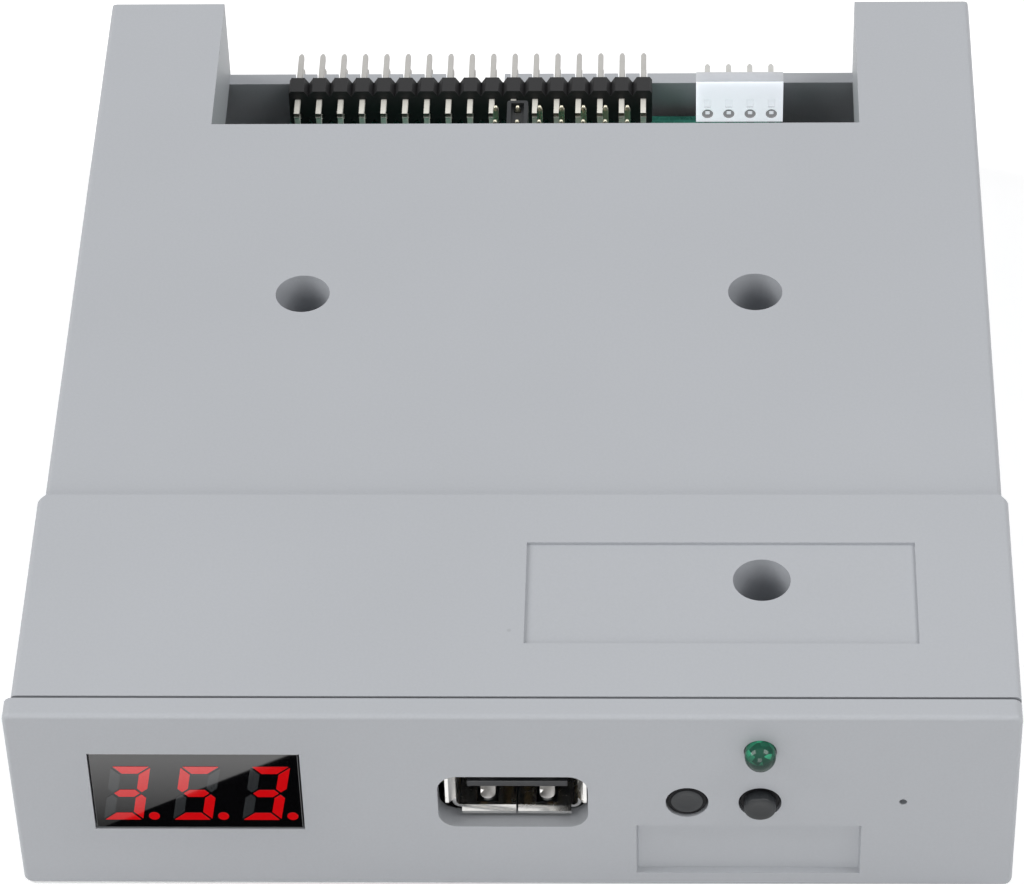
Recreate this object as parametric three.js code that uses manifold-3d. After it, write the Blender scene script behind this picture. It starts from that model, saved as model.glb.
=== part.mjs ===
// Floppy drive emulator for a 3.5 inch drive bay: two case halves and a clip-on bezel round a main board.
// Millimetres. X runs to the right, Y from the bezel's face to the rear, and Z up from the underside.
import * as THREE from "three";
import { mergeVertices } from "three/addons/utils/BufferGeometryUtils.js";
import Module from "manifold-3d";

const wasm = await Module();
wasm.setup();

// Case
const bezelWidth = 101.6;
const driveHeight = 25.4;
const caseEnd = 113.8; // from the bezel's face to the rear of the ears
const frontNarrowing = 0.7; // how much narrower the case is than the bezel, in front and behind
const rearNarrowing = 1.8;
const frontWidth = bezelWidth - frontNarrowing;
const rearWidth = bezelWidth - rearNarrowing;
const caseShift = 0.33; // the case sits this far to the right of the bezel's middle
const stepPlace = 31.4; // rear edge of the raised front section
const stepHeight = 0.85;
const stepChamfer = 0.9;
const wall = 2.0;
const partingHeight = 14.0;
const boardDrop = 2.8; // from half the drive's height down to the main board's top
const boardTop = driveHeight / 2 - boardDrop;
const caseRound = 0.6;
const lipThickness = 0.8;
const lipHeight = 1.2;
const lipClearance = 0.15;

// Cable bay between the ears
const bayWidth = 73.4;
const bayDepth = 21.7;
const earWall = 1.8;
const rearWall = 1.8;
const rearWallRise = 4.0; // over the main board
const rearWallTop = boardTop + rearWallRise;

// Top label field
const topFieldLeft = 1.1;
const topFieldInset = 9.9; // from the bezel's right end
const topFieldFront = 10.1;
const topFieldLength = 14.3;
const fieldDepth = 0.35;

// Case screws, their wells in the cover and their bosses in the bottom shell
const wellRadius = 2.95;
const wellWall = 1.3;
const wellSpacing = 49.3;
const rearWellPlace = 63.45;
const frontWellPlace = 19.1;
const wellFloor = 2.0;
const screwRadius = 1.4;
const screwTipHeight = 3.0; // over the underside
const screwHeadRadius = 2.6;
const screwHeadHeight = 1.9;
const screwClearance = 0.3;
const threadClearance = 0.05;
const bossRadius = 3.8;
const recessWidth = 0.7;
const recessSpan = 2.8;
const recessDepth = 1.0;

// Bezel
const bezelThickness = 2.5;
const bezelRound = 0.5;
const bezelCorner = 0.9;
const bezelGap = 0.3;
const rimThickness = 1.2;
const rimDepth = 3.2;
const rimClearance = 0.25;
const hookSpread = 60.0;
const hookWidth = 8.0;
const hookRise = 0.6;
const hookRamp = 1.4;
const hookClearance = 0.3;

// Display window and the display behind it
const windowInset = 8.2; // from the bezel's left end
const windowLeft = windowInset - bezelWidth / 2;
const windowWidth = 21.2;
const windowDrop = 1.3; // from the board's top to the window's lower edge
const windowBottom = boardTop - windowDrop;
const windowHeight = 11.2;
const displayClearance = 0.12;
const displayRecess = 0.25;
const displayDepth = 7.0;
const displayBoardThickness = 1.2;
const displayBoardMargin = 1.4;
const displayPinCount = 11;
const displayPinPitch = 1.8;
const digitHeight = 8.0;
const digitWidth = 4.0;
const digitPitch = 7.05;
const digitLean = 0.17; // sideways lean per unit of height
const digitLeft = 0.85; // from the window's left edge to the first digit's foot
const digitFoot = 1.25; // from the window's lower edge
const segmentWidth = 1.05;
const segmentGap = 0.12;
const segmentDepth = 0.12;
const pointRadius = 0.56;
const pointReach = 5.2;

// USB socket
const mouthWidth = 15.4;
const mouthHeight = 7.5;
const mouthLeftShift = 0.05; // from the drive's middle
const mouthPlace = -mouthLeftShift;
const usbShift = 0.35; // from the middle of the mouth to the middle of the socket
const usbPlace = mouthPlace + usbShift;
const usbRise = 2.85; // from the board to the middle of the mouth
const usbHeight = boardTop + usbRise;
const mouthRound = 2.0;
const shellWidth = 13.1;
const shellHeight = 5.7;
const shellWall = 0.35;
const shellRound = 0.9;
const shellRecess = 1.1;
const shellLength = 14.0;
const shellSeam = 0.25;
const shellLegWidth = 2.2;
const shellLegPlace = 9.4;
const tabWidth = 1.55;
const tabLength = 4.2;
const tabDrop = 0.7;
const tabSlot = 0.5;
const tabSpread = 6.05;
const tabStart = 1.6;
const tongueThickness = 1.1;
const tongueSideGap = 0.7;
const tongueWidth = shellWidth - (shellWall + tongueSideGap) * 2;
const tongueDrop = 1.35; // from the shell's inner roof to the tongue
const tongueRecess = 1.1;
const insulatorDepth = 3.0;
const insulatorClearance = 0.1;

// Buttons and their switches
const buttonRise = 2.85;
const buttonHeight = boardTop + buttonRise;
const leftButtonPlace = 17.55;
const rightButtonPlace = 24.9;
const buttonHoleRadius = 2.17;
const plungerRadius = 2.0;
const plungerTipRadius = 1.6;
const plungerShoulder = 0.4; // behind the bezel's face
const plungerRound = 0.25;
const leftPlungerRecess = 0.1;
const rightPlungerProud = 1.0;
const plungerSeat = 1.7;
const plungerClearance = 0.12;
const buttonTravel = 0.25;
const switchWidth = 6.0;
const switchDepth = 3.6;
const switchFrameThickness = 0.3;
const switchTopGap = 0.3;
const switchLegWidth = 0.7;

// Indicator lamp
const lampPlace = 24.85;
const lampDrop = 5.05; // from the bezel's top edge
const lampHeight = driveHeight - lampDrop;
const lampRadius = 1.5;
const lampProud = 2.2;
const lampFlangeRadius = 1.9;
const lampFlangeThickness = 1.0;
const lampBodyLength = 4.75;
const lampHoleClearance = 0.1;
const lampLeadSize = 0.5;
const lampLeadPitch = 2.54;
const lampLeadEnd = 13.2;

// Pin hole and label field in the bezel
const pinholeInset = 11.5; // from the bezel's right end
const pinholePlace = bezelWidth / 2 - pinholeInset;
const pinholeRise = 3.0;
const pinholeHeight = boardTop + pinholeRise;
const pinholeRadius = 0.4;
const bezelFieldLeft = 12.6;
const bezelFieldWidth = 22.4;
const bezelFieldBottom = 2.15;
const bezelFieldDrop = 0.85; // from the board's top to the field's upper edge
const bezelFieldTop = boardTop - bezelFieldDrop;

// Main board
const boardThickness = 1.6;
const boardClearance = 0.5;
const boardFront = 6.6;
const boardNotchMargin = 4.4; // from the window's right edge
const boardNotchEnd = windowLeft + windowWidth + boardNotchMargin;
const tongueStartInset = 16.3; // these are measured from the ears' rear ends
const boardTongueStart = caseEnd - tongueStartInset;
const tongueLeftReach = 29.3;
const boardTongueLeft = -tongueLeftReach;
const boardTongueRight = 28.7;
const boardEndInset = 3.1;
const boardEnd = caseEnd - boardEndInset;
const boardHoleClearance = 0.13;
const tailLength = 1.2; // how far soldered leads stand out under the board
const pegRadius = 1.0;
const pegHeight = 0.8;
const pegClearance = 0.15;

// Ribbon-cable header
const pinPitch = 2.54;
const headerWays = 17;
const headerRows = 2;
const pinSize = 0.64;
const pinTaperShare = 0.45;
const firstPinReach = 28.18;
const firstPinPlace = -firstPinReach;
const headerInset = 1.95;
const headerRear = caseEnd - headerInset;
const headerDepth = 2.54;
const headerChamfer = 0.55;
const headerNotch = 0.35;
const pinReach = 6.15;
const lowerRowHeight = 1.27;
const lowerLegPlace = 0.96; // from the header's inner face to the lower row's legs
const bendRadius = 0.9;
const pinHoleClearance = 0.04;
const pinSlotClearance = 0.13;
const keyNotchWidth = 6.5;
const keyNotchOffset = 0.7;
const pinWindowMargin = 1.2; // under the lower row
const pinWindowInset = 0.5; // from the header's ends
const pinWindowStrip = 1.8; // what is left of the rear wall over the lower row

// Power connector
const powerPlace = 23.75;
const powerWidth = 10.2;
const powerHeight = 6.1;
const powerInset = 4.15;
const powerFront = caseEnd - powerInset;
const powerWallThickness = 1.8;
const powerShroudHeight = 3.2;
const powerShroudWall = 0.6;
const powerShroudInset = 0.35; // from the upright's sides
const powerPitch = 2.5;
const powerWays = 4;
const powerPinHeight = 2.9;
const powerPinProud = 2.9;
const powerPinEnd = caseEnd + powerPinProud;
const powerRecessRadius = 1.05;
const powerRecessDepth = 0.7;
const powerRecessHeight = 1.25;
const powerNotchClearance = 0.15;

// Jumper header and cap
const jumperWays = 7;
const jumperFirstReach = 4.55;
const jumperFirstPlace = -jumperFirstReach;
const jumperInset = 11.3;
const jumperRearRow = caseEnd - jumperInset;
const jumperBaseHeight = 2.5;
const jumperPinHeight = 8.5;
const jumperCapWay = 1; // counted from the first way, which is 0
const jumperCapHeight = 5.9;
const jumperCapClearance = 0.06;

// Other parts on the board
const chipLeftShift = 2.0;
const chipPlaceX = -chipLeftShift;
const chipPlaceY = 42.0;
const chipSize = 7.0;
const chipHeight = 1.4;
const chipLegReach = 1.0;
const chipLegWidth = 0.37;
const chipLegPitch = 0.8;
const chipLegsPerSide = 8;
const crystalPlaceX = 14.0;
const crystalPlaceY = 41.0;
const crystalLength = 10.8;
const crystalWidth = 4.5;
const crystalHeight = 3.5;
const crystalRound = 2.2;
const crystalFlange = 0.4;
const regulatorInset = 19.8; // from the bezel's right end
const regulatorPlaceX = bezelWidth / 2 - regulatorInset;
const regulatorRearInset = 29.8;
const regulatorPlaceY = caseEnd - regulatorRearInset;
const regulatorWidth = 6.5;
const regulatorDepth = 3.5;
const regulatorHeight = 1.65;
const regulatorTabWidth = 3.0;
const regulatorReach = 1.75;
const regulatorLegWidth = 0.75;
const regulatorLegPitch = 2.3;
const regulatorLegThickness = 0.3;
const capacitorInset = 12.8;
const capacitorPlaceX = bezelWidth / 2 - capacitorInset;
const capacitorRearInset = 40.8;
const capacitorPlaceY = caseEnd - capacitorRearInset;
const capacitorRadius = 3.15;
const capacitorHeight = 7.7;
const capacitorBase = 1.2;
const capacitorGroove = 0.35;

// Mounting holes: the drive bay's pattern in the sides and underside
const mountFirstPlace = 23.5;
const mountRearInset = 20.3;
const mountLastPlace = caseEnd - mountRearInset;
const sideHoleHeight = 5.0;
const sideHoleDepth = 3.2;
const baseHoleInset = 5.8; // from the bezel's ends
const baseHoleSpacing = bezelWidth - baseHoleInset * 2;
const baseHoleRoof = 3.1; // what is left of the pad over the hole
const mountHoleRadius = 1.25;
const padWidth = 5.6;
const padLength = 7.0;

// Facets, and a length by which every cut runs past what it cuts
const overrun = 1.0;
const weldDistance = 0.0005;
const roundSides = 24;
const turnedSides = 18;
const smallSides = 16;
const cornerSteps = 3;
const bendSteps = 2;
const domeSteps = 6;

// Where things meet
const caseFront = bezelThickness + bezelGap;
const rearTop = driveHeight - stepHeight;
const innerHalf = rearWidth / 2 - wall;
const boardBottom = boardTop - boardThickness;
const boardHalf = innerHalf - boardClearance;
const rightWellPlace = caseShift + wellSpacing / 2;
const leftWellPlace = caseShift - wellSpacing / 2;
const wells = [
  { name: "case_screw_rear_left", x: leftWellPlace, y: rearWellPlace, top: rearTop },
  { name: "case_screw_rear_right", x: rightWellPlace, y: rearWellPlace, top: rearTop },
  { name: "case_screw_front", x: rightWellPlace, y: frontWellPlace, top: driveHeight },
];
const screwSeat = boardTop + wellFloor;
const displayFront = displayRecess;
const displayBack = displayFront + displayDepth;
const displayBoardBack = displayBack + displayBoardThickness;
const headerFront = headerRear - headerDepth;
const headerHalf = (headerWays * pinPitch) / 2;
const headerMiddle = firstPinPlace + ((headerWays - 1) * pinPitch) / 2;
const tailHeight = boardBottom - tailLength;

// Materials
const casePlastic = new THREE.MeshStandardMaterial({ color: "#b4b7bb", roughness: 0.5 });
const blackPlastic = new THREE.MeshStandardMaterial({ color: "#17181a", roughness: 0.45 });
const buttonPlastic = new THREE.MeshStandardMaterial({ color: "#2a2b2e", roughness: 0.4 });
const whiteNylon = new THREE.MeshStandardMaterial({ color: "#eef0f4", roughness: 0.45 });
const glossBlack = new THREE.MeshStandardMaterial({ color: "#0b0c0d", roughness: 0.08 });
const boardGreen = new THREE.MeshStandardMaterial({ color: "#1f7a63", roughness: 0.4 });
const tinned = new THREE.MeshStandardMaterial({ color: "#c9cacb", roughness: 0.28, metalness: 1 });
const paleGold = new THREE.MeshStandardMaterial({ color: "#d9cfae", roughness: 0.3, metalness: 1 });
const nickel = new THREE.MeshStandardMaterial({ color: "#cfd0d0", roughness: 0.22, metalness: 1 });
const zincSteel = new THREE.MeshStandardMaterial({ color: "#b9bcc0", roughness: 0.35, metalness: 1 });
const lampGreen = new THREE.MeshStandardMaterial({ color: "#12834f", roughness: 0.12 });
const canMetal = new THREE.MeshStandardMaterial({ color: "#c2c4c8", roughness: 0.3, metalness: 1 });

// A closed three.js geometry as a solid that can be joined and cut.
function toSolid(geometry) {
  const bare = geometry.index ? geometry.toNonIndexed() : geometry.clone();
  bare.deleteAttribute("normal");
  bare.deleteAttribute("uv");
  const welded = mergeVertices(bare, weldDistance);
  return new wasm.Manifold(
    new wasm.Mesh({
      numProp: 3,
      vertProperties: welded.attributes.position.array,
      triVerts: new Uint32Array(welded.index.array),
    }),
  );
}

function block(x0, x1, y0, y1, z0, z1) {
  const box = new THREE.BoxGeometry(x1 - x0, y1 - y0, z1 - z0);
  return toSolid(box.translate((x0 + x1) / 2, (y0 + y1) / 2, (z0 + z1) / 2));
}

// Upright, front-to-back and sideways round bars.
function barZ(x, y, z0, z1, radius, topRadius = radius, sides = roundSides) {
  const bar = new THREE.CylinderGeometry(topRadius, radius, z1 - z0, sides);
  return toSolid(bar.rotateX(Math.PI / 2).translate(x, y, (z0 + z1) / 2));
}

function barY(x, z, y0, y1, radius, sides = roundSides) {
  const bar = new THREE.CylinderGeometry(radius, radius, y1 - y0, sides);
  return toSolid(bar.translate(x, (y0 + y1) / 2, z));
}

function barX(y, z, x0, x1, radius, sides = smallSides) {
  const bar = new THREE.CylinderGeometry(radius, radius, x1 - x0, sides);
  return toSolid(bar.rotateZ(Math.PI / 2).translate((x0 + x1) / 2, y, z));
}

function outline(points) {
  return new THREE.Shape(points.map(([a, b]) => new THREE.Vector2(a, b)));
}

function roundedOutline(a0, a1, b0, b1, round) {
  const shape = new THREE.Shape();
  shape.absarc(a1 - round, b1 - round, round, 0, Math.PI / 2);
  shape.absarc(a0 + round, b1 - round, round, Math.PI / 2, Math.PI);
  shape.absarc(a0 + round, b0 + round, round, Math.PI, (3 * Math.PI) / 2);
  shape.absarc(a1 - round, b0 + round, round, (3 * Math.PI) / 2, 2 * Math.PI);
  shape.closePath();
  return shape;
}

// An outline in the floor plan, given height.
function risen(shape, z0, z1) {
  const form = new THREE.ExtrudeGeometry(shape, {
    depth: z1 - z0,
    bevelEnabled: false,
    curveSegments: cornerSteps,
  });
  return toSolid(form.translate(0, 0, z0));
}

// An outline seen from the front, given depth, with an optional rounded edge on the near side.
function deepened(shape, y0, y1, round = 0) {
  const form = new THREE.ExtrudeGeometry(shape, {
    depth: y1 - y0,
    bevelEnabled: round > 0,
    bevelThickness: round,
    bevelSize: round,
    bevelOffset: -round,
    bevelSegments: cornerSteps,
    curveSegments: cornerSteps,
  });
  return toSolid(form.rotateX(Math.PI / 2).translate(0, y1 + round, 0));
}

// An outline seen from the side, given as Y and Z, and widened along X.
function widened(shape, x0, x1) {
  const form = new THREE.ExtrudeGeometry(shape, {
    depth: x1 - x0,
    bevelEnabled: false,
    curveSegments: bendSteps,
  });
  const turn = new THREE.Matrix4().set(0, 0, 1, 0, 1, 0, 0, 0, 0, 1, 0, 0, 0, 0, 0, 1);
  return toSolid(form.applyMatrix4(turn).translate(x0, 0, 0));
}

function joined(solids) {
  return solids.reduce((whole, next) => whole.add(next));
}

function cut(solid, cutters) {
  return cutters.reduce((rest, cutter) => rest.subtract(cutter), solid);
}

function toMesh(name, solid, material) {
  const made = solid.getMesh();
  const geometry = new THREE.BufferGeometry();
  const places = new Float32Array(made.numVert * 3);
  for (let i = 0; i < made.numVert; i++) {
    places.set(made.vertProperties.subarray(i * made.numProp, i * made.numProp + 3), i * 3);
  }
  geometry.setAttribute("position", new THREE.BufferAttribute(places, 3));
  geometry.setIndex(new THREE.BufferAttribute(new Uint32Array(made.triVerts), 1));
  geometry.computeVertexNormals();
  const mesh = new THREE.Mesh(geometry, material);
  mesh.name = name;
  return mesh;
}

// A square bar that runs along Y at one height, turns down at legPlace and ends below the board.
function bentPin(x, tipPlace, height, legPlace, footHeight, size, taper, radius) {
  const half = size / 2;
  const profile = new THREE.Shape();
  profile.moveTo(tipPlace, height - half * taper);
  profile.lineTo(tipPlace, height + half * taper);
  profile.lineTo(tipPlace - size, height + half);
  profile.absarc(legPlace + radius, height - radius, radius + half, Math.PI / 2, Math.PI, false);
  profile.lineTo(legPlace - half, footHeight);
  profile.lineTo(legPlace + half, footHeight);
  profile.absarc(legPlace + radius, height - radius, radius - half, Math.PI, Math.PI / 2, true);
  profile.lineTo(tipPlace - size, height - half);
  profile.closePath();
  return widened(profile, x - half, x + half);
}

// A square wire that runs back along Y from start, bends at legPlace and goes down to footHeight.
function wireDown(x, start, height, legPlace, footHeight, size) {
  const half = size / 2;
  const bend = size * 2;
  const profile = new THREE.Shape();
  profile.moveTo(start, height - half);
  profile.absarc(legPlace - bend, height - bend, bend - half, Math.PI / 2, 0, true);
  profile.lineTo(legPlace - half, footHeight);
  profile.lineTo(legPlace + half, footHeight);
  profile.absarc(legPlace - bend, height - bend, bend + half, 0, Math.PI / 2, false);
  profile.lineTo(start, height + half);
  profile.closePath();
  return widened(profile, x - half, x + half);
}

// The case's outside between two heights: the wider front section, then the rear section.
function caseOutside(z0, frontTop, backTop) {
  const frontHalf = frontWidth / 2;
  const rearHalf = rearWidth / 2;
  const frontPlan = outline([
    [caseShift - frontHalf, caseFront],
    [caseShift + frontHalf, caseFront],
    [caseShift + frontHalf, stepPlace - stepChamfer],
    [caseShift + frontHalf - stepChamfer, stepPlace],
    [caseShift - frontHalf + stepChamfer, stepPlace],
    [caseShift - frontHalf, stepPlace - stepChamfer],
  ]);
  const rearPlan = roundedOutline(
    caseShift - rearHalf, caseShift + rearHalf, caseFront, caseEnd, caseRound);
  return risen(frontPlan, z0, frontTop).add(risen(rearPlan, z0, backTop));
}

// A long bar along Y that takes the sharp top edge off one side.
function edgeRounder(x, z, side) {
  const corner = block(
    Math.min(x, x - side * caseRound) - (side > 0 ? 0 : overrun),
    Math.max(x, x - side * caseRound) + (side > 0 ? overrun : 0),
    -overrun, caseEnd + overrun, z - caseRound, z + overrun);
  const bar = barY(
    x - side * caseRound, z - caseRound, -overrun, caseEnd + overrun, caseRound, smallSides);
  return corner.subtract(bar);
}

function topCover() {
  const frontHalf = frontWidth / 2;
  const rearHalf = rearWidth / 2;
  let cover = cut(caseOutside(partingHeight, driveHeight, rearTop), [
    edgeRounder(caseShift + frontHalf, driveHeight, 1),
    edgeRounder(caseShift - frontHalf, driveHeight, -1),
  ]);
  const rearEdges = joined([
    edgeRounder(caseShift + rearHalf, rearTop, 1),
    edgeRounder(caseShift - rearHalf, rearTop, -1),
  ]);
  const behindStep = block(
    -bezelWidth, bezelWidth, stepPlace, caseEnd + overrun, partingHeight, driveHeight + overrun);
  cover = cover.subtract(rearEdges.intersect(behindStep));
  // The hollow, and the ears' own hollows, so that a wall stays round the cable bay.
  const roof = rearTop - wall;
  const bayLeft = caseShift - bayWidth / 2;
  const bayRight = caseShift + bayWidth / 2;
  const bayStart = caseEnd - bayDepth;
  const hollow = block(
    caseShift - innerHalf, caseShift + innerHalf, caseFront - overrun, caseEnd - rearWall,
    partingHeight - overrun, roof);
  const frontHollow = block(
    caseShift - innerHalf, caseShift + innerHalf, caseFront - overrun, stepPlace - wall,
    roof - overrun, driveHeight - wall);
  const earWalls = joined([
    block(bayLeft - earWall, bayLeft, bayStart, caseEnd - rearWall, partingHeight, rearTop),
    block(bayRight, bayRight + earWall, bayStart, caseEnd - rearWall, partingHeight, rearTop),
  ]);
  cover = cut(cover, [hollow, frontHollow]).add(earWalls);
  cover = cover.subtract(
    block(bayLeft, bayRight, bayStart, caseEnd + overrun, partingHeight - overrun,
      rearTop + overrun));
  // Screw wells
  for (const well of wells) {
    cover = cover.add(barZ(well.x, well.y, boardTop, well.top - wall / 2, wellRadius + wellWall));
    cover = cut(cover, [
      barZ(well.x, well.y, screwSeat, well.top + overrun, wellRadius),
      barZ(well.x, well.y, boardTop - overrun, screwSeat + overrun, screwRadius + screwClearance),
    ]);
  }
  // Label field, left whole where the front well comes up through it
  const field = block(
    topFieldLeft, bezelWidth / 2 - topFieldInset, topFieldFront, topFieldFront + topFieldLength,
    driveHeight - fieldDepth, driveHeight + overrun);
  // Rebate that takes the bottom shell's lip
  const rebate = lipThickness + lipClearance;
  const lipRoom = block(
    caseShift - innerHalf - rebate, caseShift + innerHalf + rebate,
    caseFront - overrun, caseEnd - rearWall + rebate,
    partingHeight - overrun, partingHeight + lipHeight + lipClearance);
  const keptInside = block(
    caseShift - innerHalf, caseShift + innerHalf, caseFront - overrun - overrun,
    caseEnd - rearWall, boardTop - overrun, driveHeight);
  return cut(cover, [field, lipRoom.subtract(keptInside), ...hookPockets(1)]);
}

// Pockets in a case half for the bezel's hooks, over them (side 1) or under them (side -1).
function hookPockets(side) {
  const inner = side > 0 ? driveHeight - wall : wall;
  const start = bezelThickness + rimDepth - hookClearance;
  return [-1, 1].map((hand) => {
    const x = caseShift + (hand * hookSpread) / 2;
    const depth = side * (hookRise + hookClearance - rimClearance);
    const z0 = Math.min(inner - side * overrun, inner + depth);
    const z1 = Math.max(inner - side * overrun, inner + depth);
    return block(
      x - hookWidth / 2 - hookClearance, x + hookWidth / 2 + hookClearance,
      start, start + hookRamp + hookClearance * 2, z0, z1);
  });
}

function bottomShell() {
  const floorTop = wall;
  const hollow = block(
    caseShift - innerHalf, caseShift + innerHalf, caseFront - overrun, caseEnd - rearWall,
    floorTop, partingHeight + overrun);
  let shell = caseOutside(0, partingHeight, partingHeight).subtract(hollow);
  // Lip round the parting plane, broken by the cable bay
  const bayLeft = caseShift - bayWidth / 2;
  const bayRight = caseShift + bayWidth / 2;
  const lipInside = block(
    caseShift - innerHalf, caseShift + innerHalf, caseFront - overrun - overrun,
    caseEnd - rearWall, 0, driveHeight);
  const lipOutside = block(
    caseShift - innerHalf - lipThickness, caseShift + innerHalf + lipThickness, caseFront,
    caseEnd - rearWall + lipThickness, partingHeight - lipHeight, partingHeight + lipHeight);
  shell = shell.add(lipOutside.subtract(lipInside));
  const bay = block(
    bayLeft, bayRight, caseEnd - bayDepth, caseEnd + overrun, rearWallTop,
    driveHeight);
  // Openings in the rear wall: a window for the lower pins, a key notch and the power notch
  const lowerRow = boardTop + lowerRowHeight;
  const wallFront = caseEnd - rearWall - overrun;
  const wallBack = caseEnd + overrun;
  const keyMiddle = headerMiddle + keyNotchOffset;
  const upperRow = lowerRow + pinPitch;
  const powerNotchHalf = powerWidth / 2 - powerShroudInset + powerNotchClearance;
  const openings = [
    block(headerMiddle - headerHalf + pinWindowInset, headerMiddle + headerHalf - pinWindowInset,
      wallFront, wallBack, lowerRow - pinWindowMargin, rearWallTop - pinWindowStrip),
    block(keyMiddle - keyNotchWidth / 2, keyMiddle + keyNotchWidth / 2, wallFront, wallBack,
      lowerRow, rearWallTop + overrun),
    block(powerPlace - powerNotchHalf, powerPlace + powerNotchHalf, wallFront, wallBack,
      boardTop - powerNotchClearance, rearWallTop + overrun),
  ];
  // Slots in the top of the rear wall, one for each pin of the upper row
  const slotHalf = pinSize / 2 + pinSlotClearance;
  for (let way = 0; way < headerWays; way++) {
    const x = firstPinPlace + way * pinPitch;
    openings.push(
      block(x - slotHalf, x + slotHalf, wallFront, wallBack, upperRow - slotHalf,
        rearWallTop + overrun));
  }
  shell = cut(shell, [bay, ...openings, ...hookPockets(-1)]);
  // Bosses under the wells
  for (const well of wells) {
    shell = shell.add(
      barZ(well.x, well.y, floorTop - wall / 2, boardBottom, bossRadius, bossRadius, smallSides));
    shell = shell.subtract(
      barZ(well.x, well.y, screwTipHeight - screwClearance, boardBottom + overrun,
        screwRadius + threadClearance));
  }
  // Corner pads that carry the board and hold the drive bay's screws
  for (const hand of [-1, 1]) {
    for (const y of [mountFirstPlace, mountLastPlace]) {
      const outer = caseShift + hand * (innerHalf + wall / 2);
      const inner = caseShift + hand * (innerHalf - padWidth);
      shell = shell.add(
        block(Math.min(inner, outer), Math.max(inner, outer), y - padLength / 2,
          y + padLength / 2, wall / 2, boardBottom));
      const skin = caseShift + (hand * rearWidth) / 2;
      const holeEnd = skin - hand * sideHoleDepth;
      const holeMouth = skin + hand * overrun;
      const baseHole = caseShift + (hand * baseHoleSpacing) / 2;
      shell = cut(shell, [
        barX(y, sideHoleHeight, Math.min(holeEnd, holeMouth), Math.max(holeEnd, holeMouth),
          mountHoleRadius),
        barZ(baseHole, y, -overrun, boardBottom - baseHoleRoof, mountHoleRadius, mountHoleRadius,
          smallSides),
      ]);
      if (y === mountFirstPlace) {
        shell = shell.add(
          barZ(baseHole, y, boardBottom - wall / 4, boardTop + pegHeight, pegRadius,
            pegRadius, smallSides));
      }
    }
  }
  return shell;
}

function bezel() {
  const plateShape = roundedOutline(-bezelWidth / 2, bezelWidth / 2, 0, driveHeight, bezelCorner);
  const deep = bezelThickness + overrun;
  let plate = deepened(plateShape, 0, deep, bezelRound);
  plate = plate.subtract(
    block(-bezelWidth, bezelWidth, bezelThickness, deep + bezelThickness, -overrun,
      driveHeight + overrun));
  // Rim that goes inside the case halves
  const outerX = innerHalf - rimClearance;
  const outerLow = wall + rimClearance;
  const outerHigh = driveHeight - wall - rimClearance;
  const rimEnd = bezelThickness + rimDepth;
  const rim = block(
    caseShift - outerX, caseShift + outerX, bezelThickness / 2, rimEnd, outerLow, outerHigh,
  ).subtract(
    block(caseShift - outerX + rimThickness, caseShift + outerX - rimThickness, 0,
      rimEnd + overrun, outerLow + rimThickness, outerHigh - rimThickness));
  // Hooks: a tongue behind the rim with a ramped nose
  const hooks = [];
  for (const side of [-1, 1]) {
    const skin = side > 0 ? outerHigh : outerLow;
    const hookShape = outline([
      [rimEnd - rimThickness, skin],
      [rimEnd, skin],
      [rimEnd, skin + side * hookRise],
      [rimEnd + hookRamp, skin],
      [rimEnd + hookRamp, skin - side * rimThickness],
      [rimEnd - rimThickness, skin - side * rimThickness],
    ]);
    for (const hand of [-1, 1]) {
      const x = caseShift + (hand * hookSpread) / 2;
      hooks.push(widened(hookShape, x - hookWidth / 2, x + hookWidth / 2));
    }
  }
  const through = deep + rimDepth;
  const cutters = [
    block(windowLeft, windowLeft + windowWidth, -overrun, through, windowBottom,
      windowBottom + windowHeight),
    deepened(
      roundedOutline(mouthPlace - mouthWidth / 2, mouthPlace + mouthWidth / 2,
        usbHeight - mouthHeight / 2, usbHeight + mouthHeight / 2, mouthRound),
      -overrun, through),
    barY(leftButtonPlace, buttonHeight, -overrun, through, buttonHoleRadius),
    barY(rightButtonPlace, buttonHeight, -overrun, through, buttonHoleRadius),
    barY(lampPlace, lampHeight, -overrun, through, lampRadius + lampHoleClearance),
    barY(lampPlace, lampHeight, bezelThickness, through, lampFlangeRadius + lampHoleClearance),
    barY(pinholePlace, pinholeHeight, -overrun, through, pinholeRadius, smallSides),
    block(bezelFieldLeft, bezelFieldLeft + bezelFieldWidth, -overrun, fieldDepth,
      bezelFieldBottom, bezelFieldTop),
  ];
  return cut(joined([plate, rim, ...hooks]), cutters);
}

// The seven segments as shares of the digit's width and height: a bar's middle and its direction.
const segmentShares = [
  { across: 0.5, up: 1, flat: true },
  { across: 1, up: 0.75, flat: false },
  { across: 1, up: 0.25, flat: false },
  { across: 0.5, up: 0, flat: true },
  { across: 0, up: 0.25, flat: false },
  { across: 0, up: 0.75, flat: false },
  { across: 0.5, up: 0.5, flat: true },
];

function segmentOutline(footX, footZ, share) {
  const half = segmentWidth / 2;
  const runX = digitWidth - segmentWidth;
  const runZ = digitHeight - segmentWidth;
  const midA = half + share.across * runX;
  const midB = half + share.up * runZ;
  const reach = (share.flat ? runX : runZ / 2) / 2 - segmentGap;
  const along = [
    [-reach, 0], [-reach + half, -half], [reach - half, -half],
    [reach, 0], [reach - half, half], [-reach + half, half],
  ];
  return outline(along.map(([a, b]) => {
    const across = midA + (share.flat ? a : b);
    const up = midB + (share.flat ? b : a);
    return [footX + across + up * digitLean, footZ + up];
  }));
}

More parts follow.
